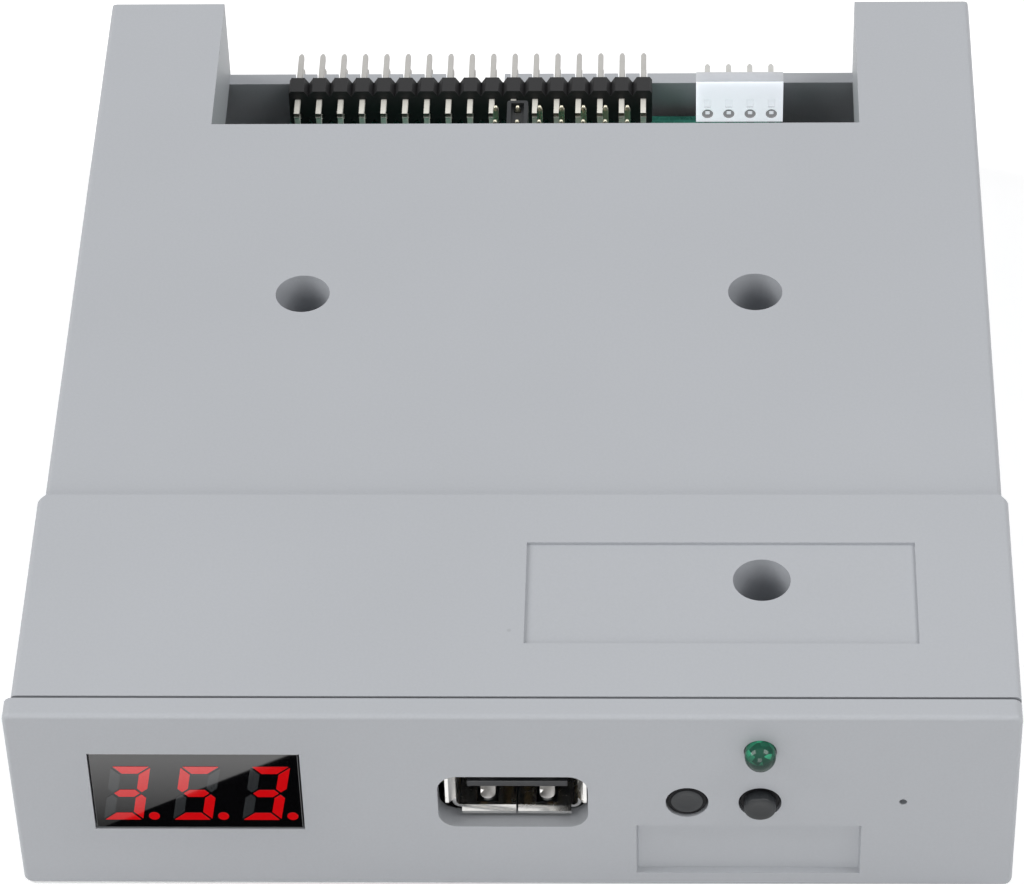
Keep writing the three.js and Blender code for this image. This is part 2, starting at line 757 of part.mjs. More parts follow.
function displayModule() {
  const left = windowLeft + displayClearance;
  const right = windowLeft + windowWidth - displayClearance;
  const low = windowBottom + displayClearance;
  const high = windowBottom + windowHeight - displayClearance;
  const body = block(left, right, displayFront, displayBack, low, high);
  const engraved = [];
  for (let digit = 0; digit < 3; digit++) {
    const footX = windowLeft + digitLeft + digit * digitPitch;
    const footZ = windowBottom + digitFoot;
    for (const share of segmentShares) {
      engraved.push(
        deepened(segmentOutline(footX, footZ, share), displayFront - segmentDepth,
          displayFront + segmentDepth));
    }
    engraved.push(
      barY(footX + pointReach, footZ + pointRadius, displayFront - segmentDepth,
        displayFront + segmentDepth, pointRadius, smallSides));
  }
  return cut(body, engraved);
}

const displayPinHeight = boardTop + displayPinPitch / 2;
const displayPinMiddle = windowLeft + windowWidth / 2;
const displayPinLeg = displayBoardBack + displayPinPitch * 2;
const displayPins = [];
for (let i = 0; i < displayPinCount; i++) {
  displayPins.push(displayPinMiddle + (i - (displayPinCount - 1) / 2) * displayPinPitch);
}
const smallPin = 0.5;

function displayBoard() {
  const plate = block(
    windowLeft - displayBoardMargin, windowLeft + windowWidth + displayBoardMargin, displayBack,
    displayBoardBack, boardBottom - displayBoardMargin / 2,
    windowBottom + windowHeight + displayBoardMargin / 2);
  return cut(plate, displayPins.map((x) =>
    squareHole(x, displayPinHeight, smallPin, displayBack - overrun, displayBoardBack + overrun)));
}

// A square through hole along Y, and one along Z.
function squareHole(x, z, size, y0, y1) {
  const half = size / 2 + boardHoleClearance;
  return block(x - half, x + half, y0, y1, z - half, z + half);
}

function boardHole(x, y, size) {
  const half = size / 2 + boardHoleClearance;
  return block(x - half, x + half, y - half, y + half, boardBottom - overrun, boardTop + overrun);
}

function displayHeader() {
  const half = (displayPinCount * displayPinPitch) / 2;
  const body = block(
    displayPinMiddle - half, displayPinMiddle + half, displayBoardBack,
    displayBoardBack + displayPinPitch, boardTop, boardTop + displayPinPitch);
  return joined([body, ...displayPins.map((x) =>
    wireDown(x, displayBack, displayPinHeight, displayPinLeg, tailHeight, smallPin))]);
}

const usbLegs = [];
for (const hand of [-1, 1]) {
  usbLegs.push(usbPlace + hand * (shellWidth / 2 - shellWall / 2));
}

function usbShell() {
  const front = shellRecess;
  const back = shellRecess + shellLength;
  const x0 = usbPlace - shellWidth / 2;
  const x1 = usbPlace + shellWidth / 2;
  const z0 = usbHeight - shellHeight / 2;
  const z1 = usbHeight + shellHeight / 2;
  const tube = deepened(roundedOutline(x0, x1, z0, z1, shellRound), front, back).subtract(
    deepened(
      roundedOutline(x0 + shellWall, x1 - shellWall, z0 + shellWall, z1 - shellWall,
        shellRound - shellWall),
      front - overrun, back + overrun));
  const seam = block(
    usbPlace - shellSeam / 2, usbPlace + shellSeam / 2, front - overrun, back + overrun,
    z0 - overrun, z0 + shellWall + shellSeam);
  // A spring tab in each half of the roof and of the floor, free at the mouth's end
  const slots = [];
  const tabs = [];
  for (const hand of [-1, 1]) {
    const x = usbPlace + (hand * tabSpread) / 2;
    for (const side of [-1, 1]) {
      const skin = usbHeight + (side * shellHeight) / 2;
      const inner = skin - side * shellWall;
      const low = Math.min(skin + side * overrun, inner - side * shellSeam);
      const high = Math.max(skin + side * overrun, inner - side * shellSeam);
      const start = front + tabStart;
      const tip = start + tabSlot;
      const root = tip + tabLength;
      slots.push(
        block(x - tabWidth / 2 - tabSlot, x + tabWidth / 2 + tabSlot, start, root, low, high));
      const tab = outline([
        [root + shellWall, skin],
        [root - shellWall, skin],
        [tip, skin - side * tabDrop],
        [tip, skin - side * (tabDrop + shellWall)],
        [root - shellWall, inner],
        [root + shellWall, inner],
      ]);
      tabs.push(widened(tab, x - tabWidth / 2, x + tabWidth / 2));
    }
  }
  // Two legs, folded down from the sides, that stand on the board and go through it
  const legs = usbLegs.map((x) => {
    const y = front + shellLegPlace;
    const shoulder = block(
      x - shellWall / 2, x + shellWall / 2, y - shellLegWidth, y + shellLegWidth, boardTop,
      usbHeight);
    return shoulder.add(
      block(x - shellWall / 2, x + shellWall / 2, y - shellLegWidth / 2, y + shellLegWidth / 2,
        tailHeight, boardTop + shellWall));
  });
  return cut(tube, [seam, ...slots]).add(joined([...tabs, ...legs]));
}

function usbInsulator() {
  const inner = shellWidth / 2 - shellWall - insulatorClearance;
  const low = usbHeight - shellHeight / 2 + shellWall + insulatorClearance;
  const high = usbHeight + shellHeight / 2 - shellWall - insulatorClearance;
  const back = shellRecess + shellLength;
  const base = deepened(
    roundedOutline(usbPlace - inner, usbPlace + inner, low, high, shellRound - shellWall),
    back - insulatorDepth, back);
  const tongueTop = high - tongueDrop;
  const tongue = block(
    usbPlace - tongueWidth / 2, usbPlace + tongueWidth / 2, shellRecess + tongueRecess,
    back - insulatorDepth + overrun, tongueTop - tongueThickness, tongueTop);
  return base.add(tongue);
}

function switchBody(place) {
  const low = boardTop;
  const high = buttonHeight + switchWidth / 2 - switchTopGap;
  const front = boardFront + switchTopGap;
  const back = front + switchDepth;
  const half = switchWidth / 2;
  const body = block(place - half, place + half, front, back, low, high);
  const bore = barY(
    place, buttonHeight, front - overrun, front + plungerSeat + buttonTravel + plungerClearance,
    plungerRadius + plungerClearance);
  // Side legs of the steel frame, which hold the switch to the board
  const legs = [-1, 1].map((hand) => {
    const x = place + hand * half;
    const y = (front + back) / 2;
    const plate = block(
      x - switchFrameThickness, x + switchFrameThickness, y - switchLegWidth,
      y + switchLegWidth, low, buttonHeight);
    return plate.add(
      block(x - switchFrameThickness, x + switchFrameThickness, y - switchLegWidth / 2,
        y + switchLegWidth / 2, tailHeight, low + switchFrameThickness));
  });
  return body.subtract(bore).add(joined(legs));
}

const switchSlots = [];
for (const place of [leftButtonPlace, rightButtonPlace]) {
  for (const hand of [-1, 1]) {
    switchSlots.push({
      x: place + (hand * switchWidth) / 2,
      y: boardFront + switchTopGap + switchDepth / 2,
    });
  }
}

function plunger(place, tip) {
  const seat = boardFront + switchTopGap + plungerSeat;
  const profile = [
    new THREE.Vector2(0, tip),
    new THREE.Vector2(plungerTipRadius - plungerRound, tip),
    new THREE.Vector2(plungerTipRadius, tip + plungerRound),
    new THREE.Vector2(plungerTipRadius, plungerShoulder),
    new THREE.Vector2(plungerRadius, plungerShoulder),
    new THREE.Vector2(plungerRadius, seat),
    new THREE.Vector2(0, seat),
  ];
  const turned = new THREE.LatheGeometry(profile, roundSides);
  return toSolid(turned.translate(place, 0, buttonHeight));
}

const lampLeads = [lampPlace - lampLeadPitch / 2, lampPlace + lampLeadPitch / 2];

function lamp() {
  const domeStart = lampRadius - lampProud;
  const back = domeStart + lampBodyLength;
  const profile = [];
  for (let i = 0; i <= domeSteps; i++) {
    const turn = (i / domeSteps) * (Math.PI / 2);
    profile.push(
      new THREE.Vector2(lampRadius * Math.sin(turn), domeStart - lampRadius * Math.cos(turn)));
  }
  profile.push(new THREE.Vector2(lampRadius, back - lampFlangeThickness));
  profile.push(new THREE.Vector2(lampFlangeRadius, back - lampFlangeThickness));
  profile.push(new THREE.Vector2(lampFlangeRadius, back));
  profile.push(new THREE.Vector2(0, back));
  const lens = toSolid(
    new THREE.LatheGeometry(profile, turnedSides).translate(lampPlace, 0, lampHeight));
  const leads = lampLeads.map((x) =>
    wireDown(x, back - lampFlangeThickness / 2, lampHeight, lampLeadEnd, tailHeight,
      lampLeadSize));
  return joined([lens, ...leads]);
}

function mainBoard() {
  const left = caseShift - boardHalf;
  const right = caseShift + boardHalf;
  const notchEnd = displayBoardBack + displayClearance;
  const plate = risen(outline([
    [boardNotchEnd, boardFront],
    [right, boardFront],
    [right, boardTongueStart],
    [boardTongueRight, boardTongueStart],
    [boardTongueRight, boardEnd],
    [boardTongueLeft, boardEnd],
    [boardTongueLeft, boardTongueStart],
    [left, boardTongueStart],
    [left, notchEnd],
    [boardNotchEnd, notchEnd],
  ]), boardBottom, boardTop);
  const holes = [];
  for (const well of wells) {
    holes.push(
      barZ(well.x, well.y, boardBottom - overrun, boardTop + overrun,
        screwRadius + screwClearance));
  }
  for (const hand of [-1, 1]) {
    holes.push(
      barZ(caseShift + (hand * baseHoleSpacing) / 2, mountFirstPlace, boardBottom - overrun,
        boardTop + overrun, pegRadius + pegClearance, pegRadius + pegClearance, smallSides));
  }
  for (const pin of headerPins) {
    holes.push(boardHole(pin.x, pin.leg, pinSize));
  }
  for (const x of displayPins) {
    holes.push(boardHole(x, displayPinLeg, smallPin));
  }
  for (const x of lampLeads) {
    holes.push(boardHole(x, lampLeadEnd, lampLeadSize));
  }
  for (const x of usbLegs) {
    const y = shellRecess + shellLegPlace;
    const halfX = shellWall / 2 + boardHoleClearance;
    const halfY = shellLegWidth / 2 + boardHoleClearance;
    holes.push(
      block(x - halfX, x + halfX, y - halfY, y + halfY, boardBottom - overrun,
        boardTop + overrun));
  }
  for (const slot of switchSlots) {
    const halfX = switchFrameThickness + boardHoleClearance;
    const halfY = switchLegWidth / 2 + boardHoleClearance;
    holes.push(
      block(slot.x - halfX, slot.x + halfX, slot.y - halfY, slot.y + halfY,
        boardBottom - overrun, boardTop + overrun));
  }
  for (const x of powerPins) {
    holes.push(boardHole(x, powerLegPlace, pinSize));
  }
  for (const pin of jumperPins) {
    holes.push(boardHole(pin.x, pin.y, pinSize));
  }
  return cut(plate, holes);
}

const headerPins = [];
for (let row = 0; row < headerRows; row++) {
  for (let way = 0; way < headerWays; way++) {
    headerPins.push({
      name: `ribbon_pin_${row === 0 ? "lower" : "upper"}_${String(way + 1).padStart(2, "0")}`,
      x: firstPinPlace + way * pinPitch,
      height: boardTop + lowerRowHeight + row * pinPitch,
      leg: headerFront - lowerLegPlace - row * pinPitch,
    });
  }
}

// Header body: one outline with a notch between neighbouring ways, above and below.
function ribbonHeader() {
  const low = boardTop;
  const high = boardTop + headerRows * pinPitch;
  const left = headerMiddle - headerHalf;
  const upper = [];
  const lower = [];
  for (let way = 0; way < headerWays; way++) {
    const x0 = left + way * pinPitch;
    const x1 = x0 + pinPitch;
    const start = way === 0 ? 0 : headerNotch / 2;
    const end = way === headerWays - 1 ? 0 : headerNotch / 2;
    upper.push([x0 + start, high - headerChamfer], [x0 + headerChamfer, high]);
    upper.push([x1 - headerChamfer, high], [x1 - end, high - headerChamfer]);
    lower.push([x0 + start, low + headerChamfer], [x0 + headerChamfer, low]);
    lower.push([x1 - headerChamfer, low], [x1 - end, low + headerChamfer]);
  }
  const body = deepened(outline([...lower, ...upper.reverse()]), headerFront, headerRear);
  const half = pinSize / 2 + pinHoleClearance;
  return cut(body, headerPins.map((pin) =>
    block(pin.x - half, pin.x + half, headerFront - overrun, headerRear + overrun,
      pin.height - half, pin.height + half)));
}

const powerLegPlace = powerFront + powerRecessDepth / 2;
const powerPins = [];
for (let i = 0; i < powerWays; i++) {
  powerPins.push(powerPlace + (i - (powerWays - 1) / 2) * powerPitch);
}

function powerConnector() {
  const x0 = powerPlace - powerWidth / 2;
  const x1 = powerPlace + powerWidth / 2;
  const wallBack = powerFront + powerWallThickness;
  const upright = block(x0, x1, powerFront, wallBack, boardTop, boardTop + powerHeight);
  const side0 = x0 + powerShroudInset;
  const side1 = x1 - powerShroudInset;
  const shroud = block(
    side0, side1, wallBack - powerShroudWall, caseEnd, boardTop, boardTop + powerShroudHeight,
  ).subtract(
    block(side0 + powerShroudWall, side1 - powerShroudWall, wallBack, caseEnd + overrun,
      boardTop + powerShroudWall, boardTop + powerShroudHeight + overrun));
  const recesses = powerPins.map((x) =>
    barY(x, boardTop + powerRecessHeight, powerFront - overrun, powerFront + powerRecessDepth,
      powerRecessRadius, smallSides));
  const half = pinSize / 2;
  const pins = powerPins.map((x) => {
    const height = boardTop + powerPinHeight;
    const blade = block(
      x - half, x + half, wallBack - powerShroudWall, powerPinEnd, height - half, height + half);
    const leg = block(
      x - half, x + half, powerLegPlace - half, powerLegPlace + half, tailHeight,
      boardTop + powerRecessHeight + powerRecessRadius + half);
    return blade.add(leg);
  });
  return joined([cut(upright.add(shroud), recesses), ...pins]);
}

const jumperPins = [];
for (let row = 0; row < headerRows; row++) {
  for (let way = 0; way < jumperWays; way++) {
    jumperPins.push({
      x: jumperFirstPlace + way * pinPitch,
      y: jumperRearRow - row * pinPitch,
    });
  }
}

function jumperHeader() {
  const half = pinPitch / 2;
  const last = jumperFirstPlace + (jumperWays - 1) * pinPitch;
  const base = block(
    jumperFirstPlace - half, last + half, jumperRearRow - pinPitch - half, jumperRearRow + half,
    boardTop, boardTop + jumperBaseHeight);
  const pinHalf = pinSize / 2;
  const tip = boardTop + jumperPinHeight;
  const pins = jumperPins.map((pin) => {
    const shaft = block(
      pin.x - pinHalf, pin.x + pinHalf, pin.y - pinHalf, pin.y + pinHalf, tailHeight,
      tip - pinSize);
    const point = new THREE.CylinderGeometry(
      pinHalf * pinTaperShare * Math.SQRT2, pinHalf * Math.SQRT2, pinSize, 4);
    point.rotateX(Math.PI / 2).rotateZ(Math.PI / 4);
    point.translate(pin.x, pin.y, tip - pinSize / 2);
    return shaft.add(toSolid(point));
  });
  return joined([base, ...pins]);
}

function jumperCap() {
  const x = jumperFirstPlace + jumperCapWay * pinPitch;
  const half = pinPitch / 2 - jumperCapClearance;
  const low = boardTop + jumperBaseHeight;
  const high = low + jumperCapHeight;
  const middle = jumperRearRow - pinPitch / 2;
  const body = block(x - half, x + half, middle - half * 2, middle + half * 2, low, high);
  const holeHalf = pinSize / 2 + boardHoleClearance;
  const holes = [-1, 1].map((hand) => {
    const y = middle + (hand * pinPitch) / 2;
    return block(
      x - holeHalf, x + holeHalf, y - holeHalf, y + holeHalf, low - overrun, high + overrun);
  });
  return cut(body, holes);
}

function caseScrew(well) {
  const headTop = screwSeat + screwHeadHeight;
  const profile = [
    new THREE.Vector2(0, screwTipHeight),
    new THREE.Vector2(screwRadius / 2, screwTipHeight),
    new THREE.Vector2(screwRadius, screwTipHeight + screwRadius),
    new THREE.Vector2(screwRadius, screwSeat),
    new THREE.Vector2(screwHeadRadius, screwSeat),
    new THREE.Vector2(screwHeadRadius, headTop - screwHeadHeight / 2),
    new THREE.Vector2(screwHeadRadius * Math.cos(Math.PI / 6), headTop - screwHeadHeight / 6),
    new THREE.Vector2(screwHeadRadius / 2, headTop),
    new THREE.Vector2(0, headTop),
  ];
  const turned = new THREE.LatheGeometry(profile, turnedSides).rotateX(Math.PI / 2);
  const screw = toSolid(turned.translate(well.x, well.y, 0));
  const halfA = recessSpan / 2;
  const halfB = recessWidth / 2;
  const low = headTop - recessDepth;
  return cut(screw, [
    block(well.x - halfA, well.x + halfA, well.y - halfB, well.y + halfB, low, headTop + overrun),
    block(well.x - halfB, well.x + halfB, well.y - halfA, well.y + halfA, low, headTop + overrun),
  ]);
}

// Flat chip with legs on all four sides, each leg a foot on the board.
function chip() {
  const half = chipSize / 2;
  const seat = boardTop + chipLegWidth / 2;
  const body = block(
    chipPlaceX - half, chipPlaceX + half, chipPlaceY - half, chipPlaceY + half, seat,
    boardTop + chipHeight);
  const legs = [];
  const legHalf = chipLegWidth / 2;
  const reach = half + chipLegReach;
  const root = half - legHalf;
  for (let i = 0; i < chipLegsPerSide; i++) {
    const along = (i - (chipLegsPerSide - 1) / 2) * chipLegPitch;
    for (const hand of [-1, 1]) {
      const near = Math.min(hand * root, hand * reach);
      const far = Math.max(hand * root, hand * reach);
      legs.push(
        block(chipPlaceX + along - legHalf, chipPlaceX + along + legHalf, chipPlaceY + near,
          chipPlaceY + far, boardTop, seat + legHalf),
        block(chipPlaceX + near, chipPlaceX + far, chipPlaceY + along - legHalf,
          chipPlaceY + along + legHalf, boardTop, seat + legHalf));
    }
  }
  return joined([body, ...legs]);
}

function crystal() {
  const half = crystalWidth / 2;
  const can = risen(
    roundedOutline(crystalPlaceX - crystalLength / 2, crystalPlaceX + crystalLength / 2,
      crystalPlaceY - half, crystalPlaceY + half, crystalRound),
    boardTop, boardTop + crystalHeight);
  const flange = risen(
    roundedOutline(crystalPlaceX - crystalLength / 2 - crystalFlange,
      crystalPlaceX + crystalLength / 2 + crystalFlange, crystalPlaceY - half - crystalFlange,
      crystalPlaceY + half + crystalFlange, half),
    boardTop, boardTop + crystalFlange);
  return can.add(flange);
}

function regulator() {
  const x = regulatorPlaceX;
  const y = regulatorPlaceY;
  const body = block(
    x - regulatorWidth / 2, x + regulatorWidth / 2, y - regulatorDepth / 2,
    y + regulatorDepth / 2, boardTop, boardTop + regulatorHeight);
  const tab = block(
    x - regulatorTabWidth / 2, x + regulatorTabWidth / 2, y, y + regulatorDepth / 2
      + regulatorReach, boardTop, boardTop + regulatorLegThickness);
  const legs = [-1, 0, 1].map((i) => {
    const leg = x + i * regulatorLegPitch;
    return block(
      leg - regulatorLegWidth / 2, leg + regulatorLegWidth / 2,
      y - regulatorDepth / 2 - regulatorReach, y, boardTop, boardTop + regulatorLegThickness);
  });
  return joined([body, tab, ...legs]);
}

function capacitor() {
  const grooveLow = boardTop + capacitorBase + capacitorGroove;
  const top = boardTop + capacitorHeight;
  const inner = capacitorRadius - capacitorGroove;
  const profile = [
    new THREE.Vector2(0, boardTop),
    new THREE.Vector2(capacitorRadius, boardTop),
    new THREE.Vector2(capacitorRadius, grooveLow),
    new THREE.Vector2(inner, grooveLow + capacitorGroove),
    new THREE.Vector2(inner, grooveLow + capacitorGroove * 2),
    new THREE.Vector2(capacitorRadius, grooveLow + capacitorGroove * 3),
    new THREE.Vector2(capacitorRadius, top - capacitorGroove),
    new THREE.Vector2(inner, top),
    new THREE.Vector2(0, top),
  ];
  const can = toSolid(
    new THREE.LatheGeometry(profile, turnedSides).rotateX(Math.PI / 2)
      .translate(capacitorPlaceX, capacitorPlaceY, 0));
  const base = block(
    capacitorPlaceX - capacitorRadius, capacitorPlaceX + capacitorRadius,
    capacitorPlaceY - capacitorRadius, capacitorPlaceY + capacitorRadius, boardTop,
    boardTop + capacitorBase);
  return can.add(base);
}

// The whole drive, moved so that its origin lies in the middle of the underside.
const drive = new THREE.Group();
drive.position.set(0, -caseEnd / 2, 0);
drive.add(toMesh("bezel", bezel(), casePlastic));
drive.add(toMesh("top_cover", topCover(), casePlastic));
drive.add(toMesh("bottom_shell", bottomShell(), casePlastic));
drive.add(toMesh("main_board", mainBoard(), boardGreen));
drive.add(toMesh("display_board", displayBoard(), boardGreen));
drive.add(toMesh("display_module", displayModule(), glossBlack));
drive.add(toMesh("display_header", displayHeader(), blackPlastic));
drive.add(toMesh("usb_shell", usbShell(), nickel));
drive.add(toMesh("usb_insulator", usbInsulator(), blackPlastic));
drive.add(toMesh("indicator_lamp", lamp(), lampGreen));
drive.add(toMesh("left_switch", switchBody(leftButtonPlace), blackPlastic));
drive.add(toMesh("right_switch", switchBody(rightButtonPlace), blackPlastic));
drive.add(toMesh("left_button", plunger(leftButtonPlace, leftPlungerRecess), buttonPlastic));
drive.add(toMesh("right_button", plunger(rightButtonPlace, -rightPlungerProud), buttonPlastic));
drive.add(toMesh("ribbon_header", ribbonHeader(), blackPlastic));
for (const pin of headerPins) {
  const wire = bentPin(
    pin.x, headerRear + pinReach, pin.height, pin.leg, tailHeight, pinSize, pinTaperShare, bendRadius);
  drive.add(toMesh(pin.name, wire, paleGold));
}
drive.add(toMesh("power_connector", powerConnector(), whiteNylon));
drive.add(toMesh("jumper_header", jumperHeader(), blackPlastic));
drive.add(toMesh("jumper_cap", jumperCap(), buttonPlastic));
for (const well of wells) {
  drive.add(toMesh(well.name, caseScrew(well), zincSteel));
}
drive.add(toMesh("microcontroller", chip(), blackPlastic));
drive.add(toMesh("crystal", crystal(), canMetal));
drive.add(toMesh("voltage_regulator", regulator(), blackPlastic));
drive.add(toMesh("electrolytic_capacitor", capacitor(), tinned));

export default drive;
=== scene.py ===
import math

import bmesh
import bpy
from mathutils import Matrix, Vector


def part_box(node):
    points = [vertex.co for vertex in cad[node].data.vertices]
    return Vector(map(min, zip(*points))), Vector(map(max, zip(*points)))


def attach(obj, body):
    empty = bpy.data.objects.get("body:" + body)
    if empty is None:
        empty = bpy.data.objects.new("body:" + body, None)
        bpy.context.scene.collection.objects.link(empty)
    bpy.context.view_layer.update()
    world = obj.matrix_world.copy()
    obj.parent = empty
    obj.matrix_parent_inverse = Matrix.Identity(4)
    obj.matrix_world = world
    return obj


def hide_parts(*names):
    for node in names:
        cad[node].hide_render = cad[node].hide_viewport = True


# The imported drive: its nodes fix every place below. Places are millimetres across (x), behind the
# bezel's face (y) and above the flat underside (z).
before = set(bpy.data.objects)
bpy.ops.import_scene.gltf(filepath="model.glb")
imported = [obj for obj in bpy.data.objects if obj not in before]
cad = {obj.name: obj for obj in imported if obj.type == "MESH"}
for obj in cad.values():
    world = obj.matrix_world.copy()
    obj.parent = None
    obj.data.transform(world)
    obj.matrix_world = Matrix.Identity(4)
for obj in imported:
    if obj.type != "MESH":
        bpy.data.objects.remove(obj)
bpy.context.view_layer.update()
MM = 0.001
FACE_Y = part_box("bezel")[0].y
bpy.ops.object.select_all(action="DESELECT")


def at(x, y, z):
    """The point in metres for a place in millimetres."""
    return Vector((x * MM, FACE_Y + y * MM, z * MM))


# Camera: in front of and above the drive, far off with a long lens, so that its sides hardly
# converge.
bpy.ops.object.camera_add(
    location=(0.017448, -0.377369, 0.372647),
    rotation=[math.radians(turn) for turn in (46.0308, 1.4636, 1.496)])
camera = bpy.context.active_object
camera.data.sensor_width = 36
camera.data.lens = 167.33
camera.data.clip_start = 0.01
camera.data.clip_end = 5
bpy.context.scene.camera = camera

# Bottom shell: the lower half of the case, one light grey ABS moulding. Its rear wall has a window
# for the lower pins, a key notch and a notch for the power plug; posts and pads carry the board.
UPRIGHT = Vector((0, 0, 1))
ALONG = Vector((0, 1, 0))
ACROSS = Vector((1, 0, 0))
ALIGNED = 0.9  # the cosine from which a direction counts as that of an axis
CASE_MIDDLE = 0.33  # the case sits a little to the right of the bezel's middle
CASE_SIDES = (-49.57, 50.23)
CASE_ENDS = (2.8, 113.8)
FRONT_SIDES = (-50.12, 50.78)  # of the wider front part, which ends at the step
STEP = 31.4
HOLLOW = (-47.57, 48.23)  # the case's inside, from wall to wall
PARTING = 14
FRONT_TOP = 25.4
REAR_TOP = 24.55
WELLS = ((-24.32, 63.45, REAR_TOP), (24.98, 63.45, REAR_TOP), (24.98, 19.1, FRONT_TOP))
BAY_SIDES = (-36.37, 37.03)
BAY_ENDS = (92.1, 115)
HOOKS = (-29.67, 30.33)
WALL_BACK = (111, 115)  # cuts through the rear wall
PIN_PITCH = 2.54
WAYS = 17


def alone(piece):
    """Selects this piece only and makes it the active one."""
    bpy.ops.object.select_all(action="DESELECT")
    piece.select_set(True)
    bpy.context.view_layer.objects.active = piece


def settled(name):
    """Puts the new primitive's place and size into its mesh and names it."""
    piece = bpy.context.active_object
    bpy.ops.object.transform_apply(location=True, rotation=True, scale=True)
    piece.name = name
    piece.data.name = name
    return piece


def block(name, across, back, up):
    """A box between two places on each axis."""
    bpy.ops.object.select_all(action="DESELECT")
    low, high = at(across[0], back[0], up[0]), at(across[1], back[1], up[1])
    bpy.ops.mesh.primitive_cube_add(size=1, location=(low + high) / 2, scale=high - low)
    return settled(name)


def bar(name, radius, start, length, way="Z", sides=32):
    """A round bar from a place along one axis."""
    bpy.ops.object.select_all(action="DESELECT")
    quarter = math.pi / 2
    turn = {"X": (0, quarter, 0), "Y": (quarter, 0, 0), "Z": (0, 0, 0)}[way]
    step = {"X": ACROSS, "Y": ALONG, "Z": UPRIGHT}[way] * length * MM / 2
    bpy.ops.mesh.primitive_cylinder_add(
        vertices=sides, radius=radius * MM, depth=abs(length) * MM, location=at(*start) + step,
        rotation=turn)
    return settled(name)


def combined(piece, tools, operation="DIFFERENCE"):
    """Cuts the tools from the piece or joins them to it; the tools are used up."""
    for tool in tools:
        alone(piece)
        change = piece.modifiers.new("cut", "BOOLEAN")
        change.operation = operation
        change.solver = "EXACT"
        change.object = tool
        bpy.ops.object.modifier_apply(modifier=change.name)
        bpy.data.objects.remove(tool)
    return piece


def place_of(point):
    """The place in millimetres of a point in metres."""
    return Vector((point.x / MM, (point.y - FACE_Y) / MM, point.z / MM))


def pick_edges(piece, wanted):
    """Opens the piece in edit mode with the edges picked whose middle and direction suit."""
    alone(piece)
    bpy.ops.object.mode_set(mode="EDIT")
    bpy.ops.mesh.select_mode(type="EDGE")
    bpy.ops.mesh.select_all(action="DESELECT")
    shape = bmesh.from_edit_mesh(piece.data)
    for edge in shape.edges:
        start, end = edge.verts[0].co, edge.verts[1].co
        edge.select_set(bool(wanted(place_of((start + end) / 2), (end - start).normalized())))
    bmesh.update_edit_mesh(piece.data)


def pick_faces(piece, wanted):
    """Opens the piece in edit mode with the faces picked whose middle and normal suit."""
    alone(piece)
    bpy.ops.object.mode_set(mode="EDIT")
    bpy.ops.mesh.select_mode(type="FACE")
    bpy.ops.mesh.select_all(action="DESELECT")
    shape = bmesh.from_edit_mesh(piece.data)
    shape.normal_update()
    for face in shape.faces:
        face.select_set(bool(wanted(place_of(face.calc_center_median()), face.normal)))
    bmesh.update_edit_mesh(piece.data)


def done():
    """Leaves edit mode."""
    bpy.ops.object.mode_set(mode="OBJECT")


def rounded(piece, wanted, width, steps=4):
    """Rounds the edges that suit."""
    pick_edges(piece, wanted)
    bpy.ops.mesh.bevel(offset=width * MM, offset_type="OFFSET", segments=steps, affect="EDGES")
    done()
    return piece


def softened(piece, width=0.12, steps=2, limit=32):
    """Takes the sharpness off every edge, as a mould or a tool leaves it."""
    alone(piece)
    edge = piece.modifiers.new("edge", "BEVEL")
    edge.limit_method = "ANGLE"
    edge.angle_limit = math.radians(limit)
    edge.width = width * MM
    edge.segments = steps
    bpy.ops.object.modifier_apply(modifier=edge.name)
    bpy.ops.object.shade_smooth_by_angle(angle=math.radians(50))
    even = piece.modifiers.new("even", "WEIGHTED_NORMAL")
    even.keep_sharp = True
    bpy.ops.object.modifier_apply(modifier=even.name)
    return piece


def case_half(name, low, front_top, rear_top):
    """The outside of a case half: a wider front part that ends in chamfers, and a rear part."""
    rear = block(name, CASE_SIDES, CASE_ENDS, (low, rear_top))
    rounded(rear, lambda mid, way: abs(way.dot(UPRIGHT)) > ALIGNED and mid.y > 100, 0.6)
    front = block("front_part", FRONT_SIDES, (CASE_ENDS[0], STEP), (low, front_top))
    rounded(front, lambda mid, way: abs(way.dot(UPRIGHT)) > ALIGNED and mid.y > 20, 0.9, 1)
    return rear, front


def hook_pockets(low, high):
    """Room in a case half for the bezel's hooks."""
    return [block("pocket", (x - 4.3, x + 4.3), (5.4, 7.4), (low, high))
            for x in HOOKS]


bottom_shell, shell_front = case_half("bottom_shell", 0, PARTING, PARTING)
combined(bottom_shell, [shell_front], "UNION")
combined(bottom_shell, [block("hollow", HOLLOW, (-1, 112), (2, 20))])
lip = block("lip", (-48.37, 49.03), (2.8, 112.8), (12.8, 15.2))
combined(lip, [block("lip_room", HOLLOW, (-1, 112), (10, 20))])
combined(bottom_shell, [lip], "UNION")
combined(bottom_shell, [
    block("bay", BAY_SIDES, BAY_ENDS, (13.9, 30)),
    block("pin_window", (-28.95, 13.23), WALL_BACK, (9.97, 12.1)),
    block("key_notch", (-10.41, -3.91), WALL_BACK, (11.17, 15)),
    block("power_notch", (18.85, 28.65), WALL_BACK, (9.75, 15)),
    *hook_pockets(1.35, 3)])


def row_of(piece, count, pitch=PIN_PITCH):
    """Repeats a tool along the row of pins."""
    alone(piece)
    row = piece.modifiers.new("row", "ARRAY")
    row.count = count
    row.use_relative_offset = False
    row.use_constant_offset = True
    row.constant_offset_displace = (pitch * MM, 0, 0)
    bpy.ops.object.modifier_apply(modifier=row.name)
    return piece


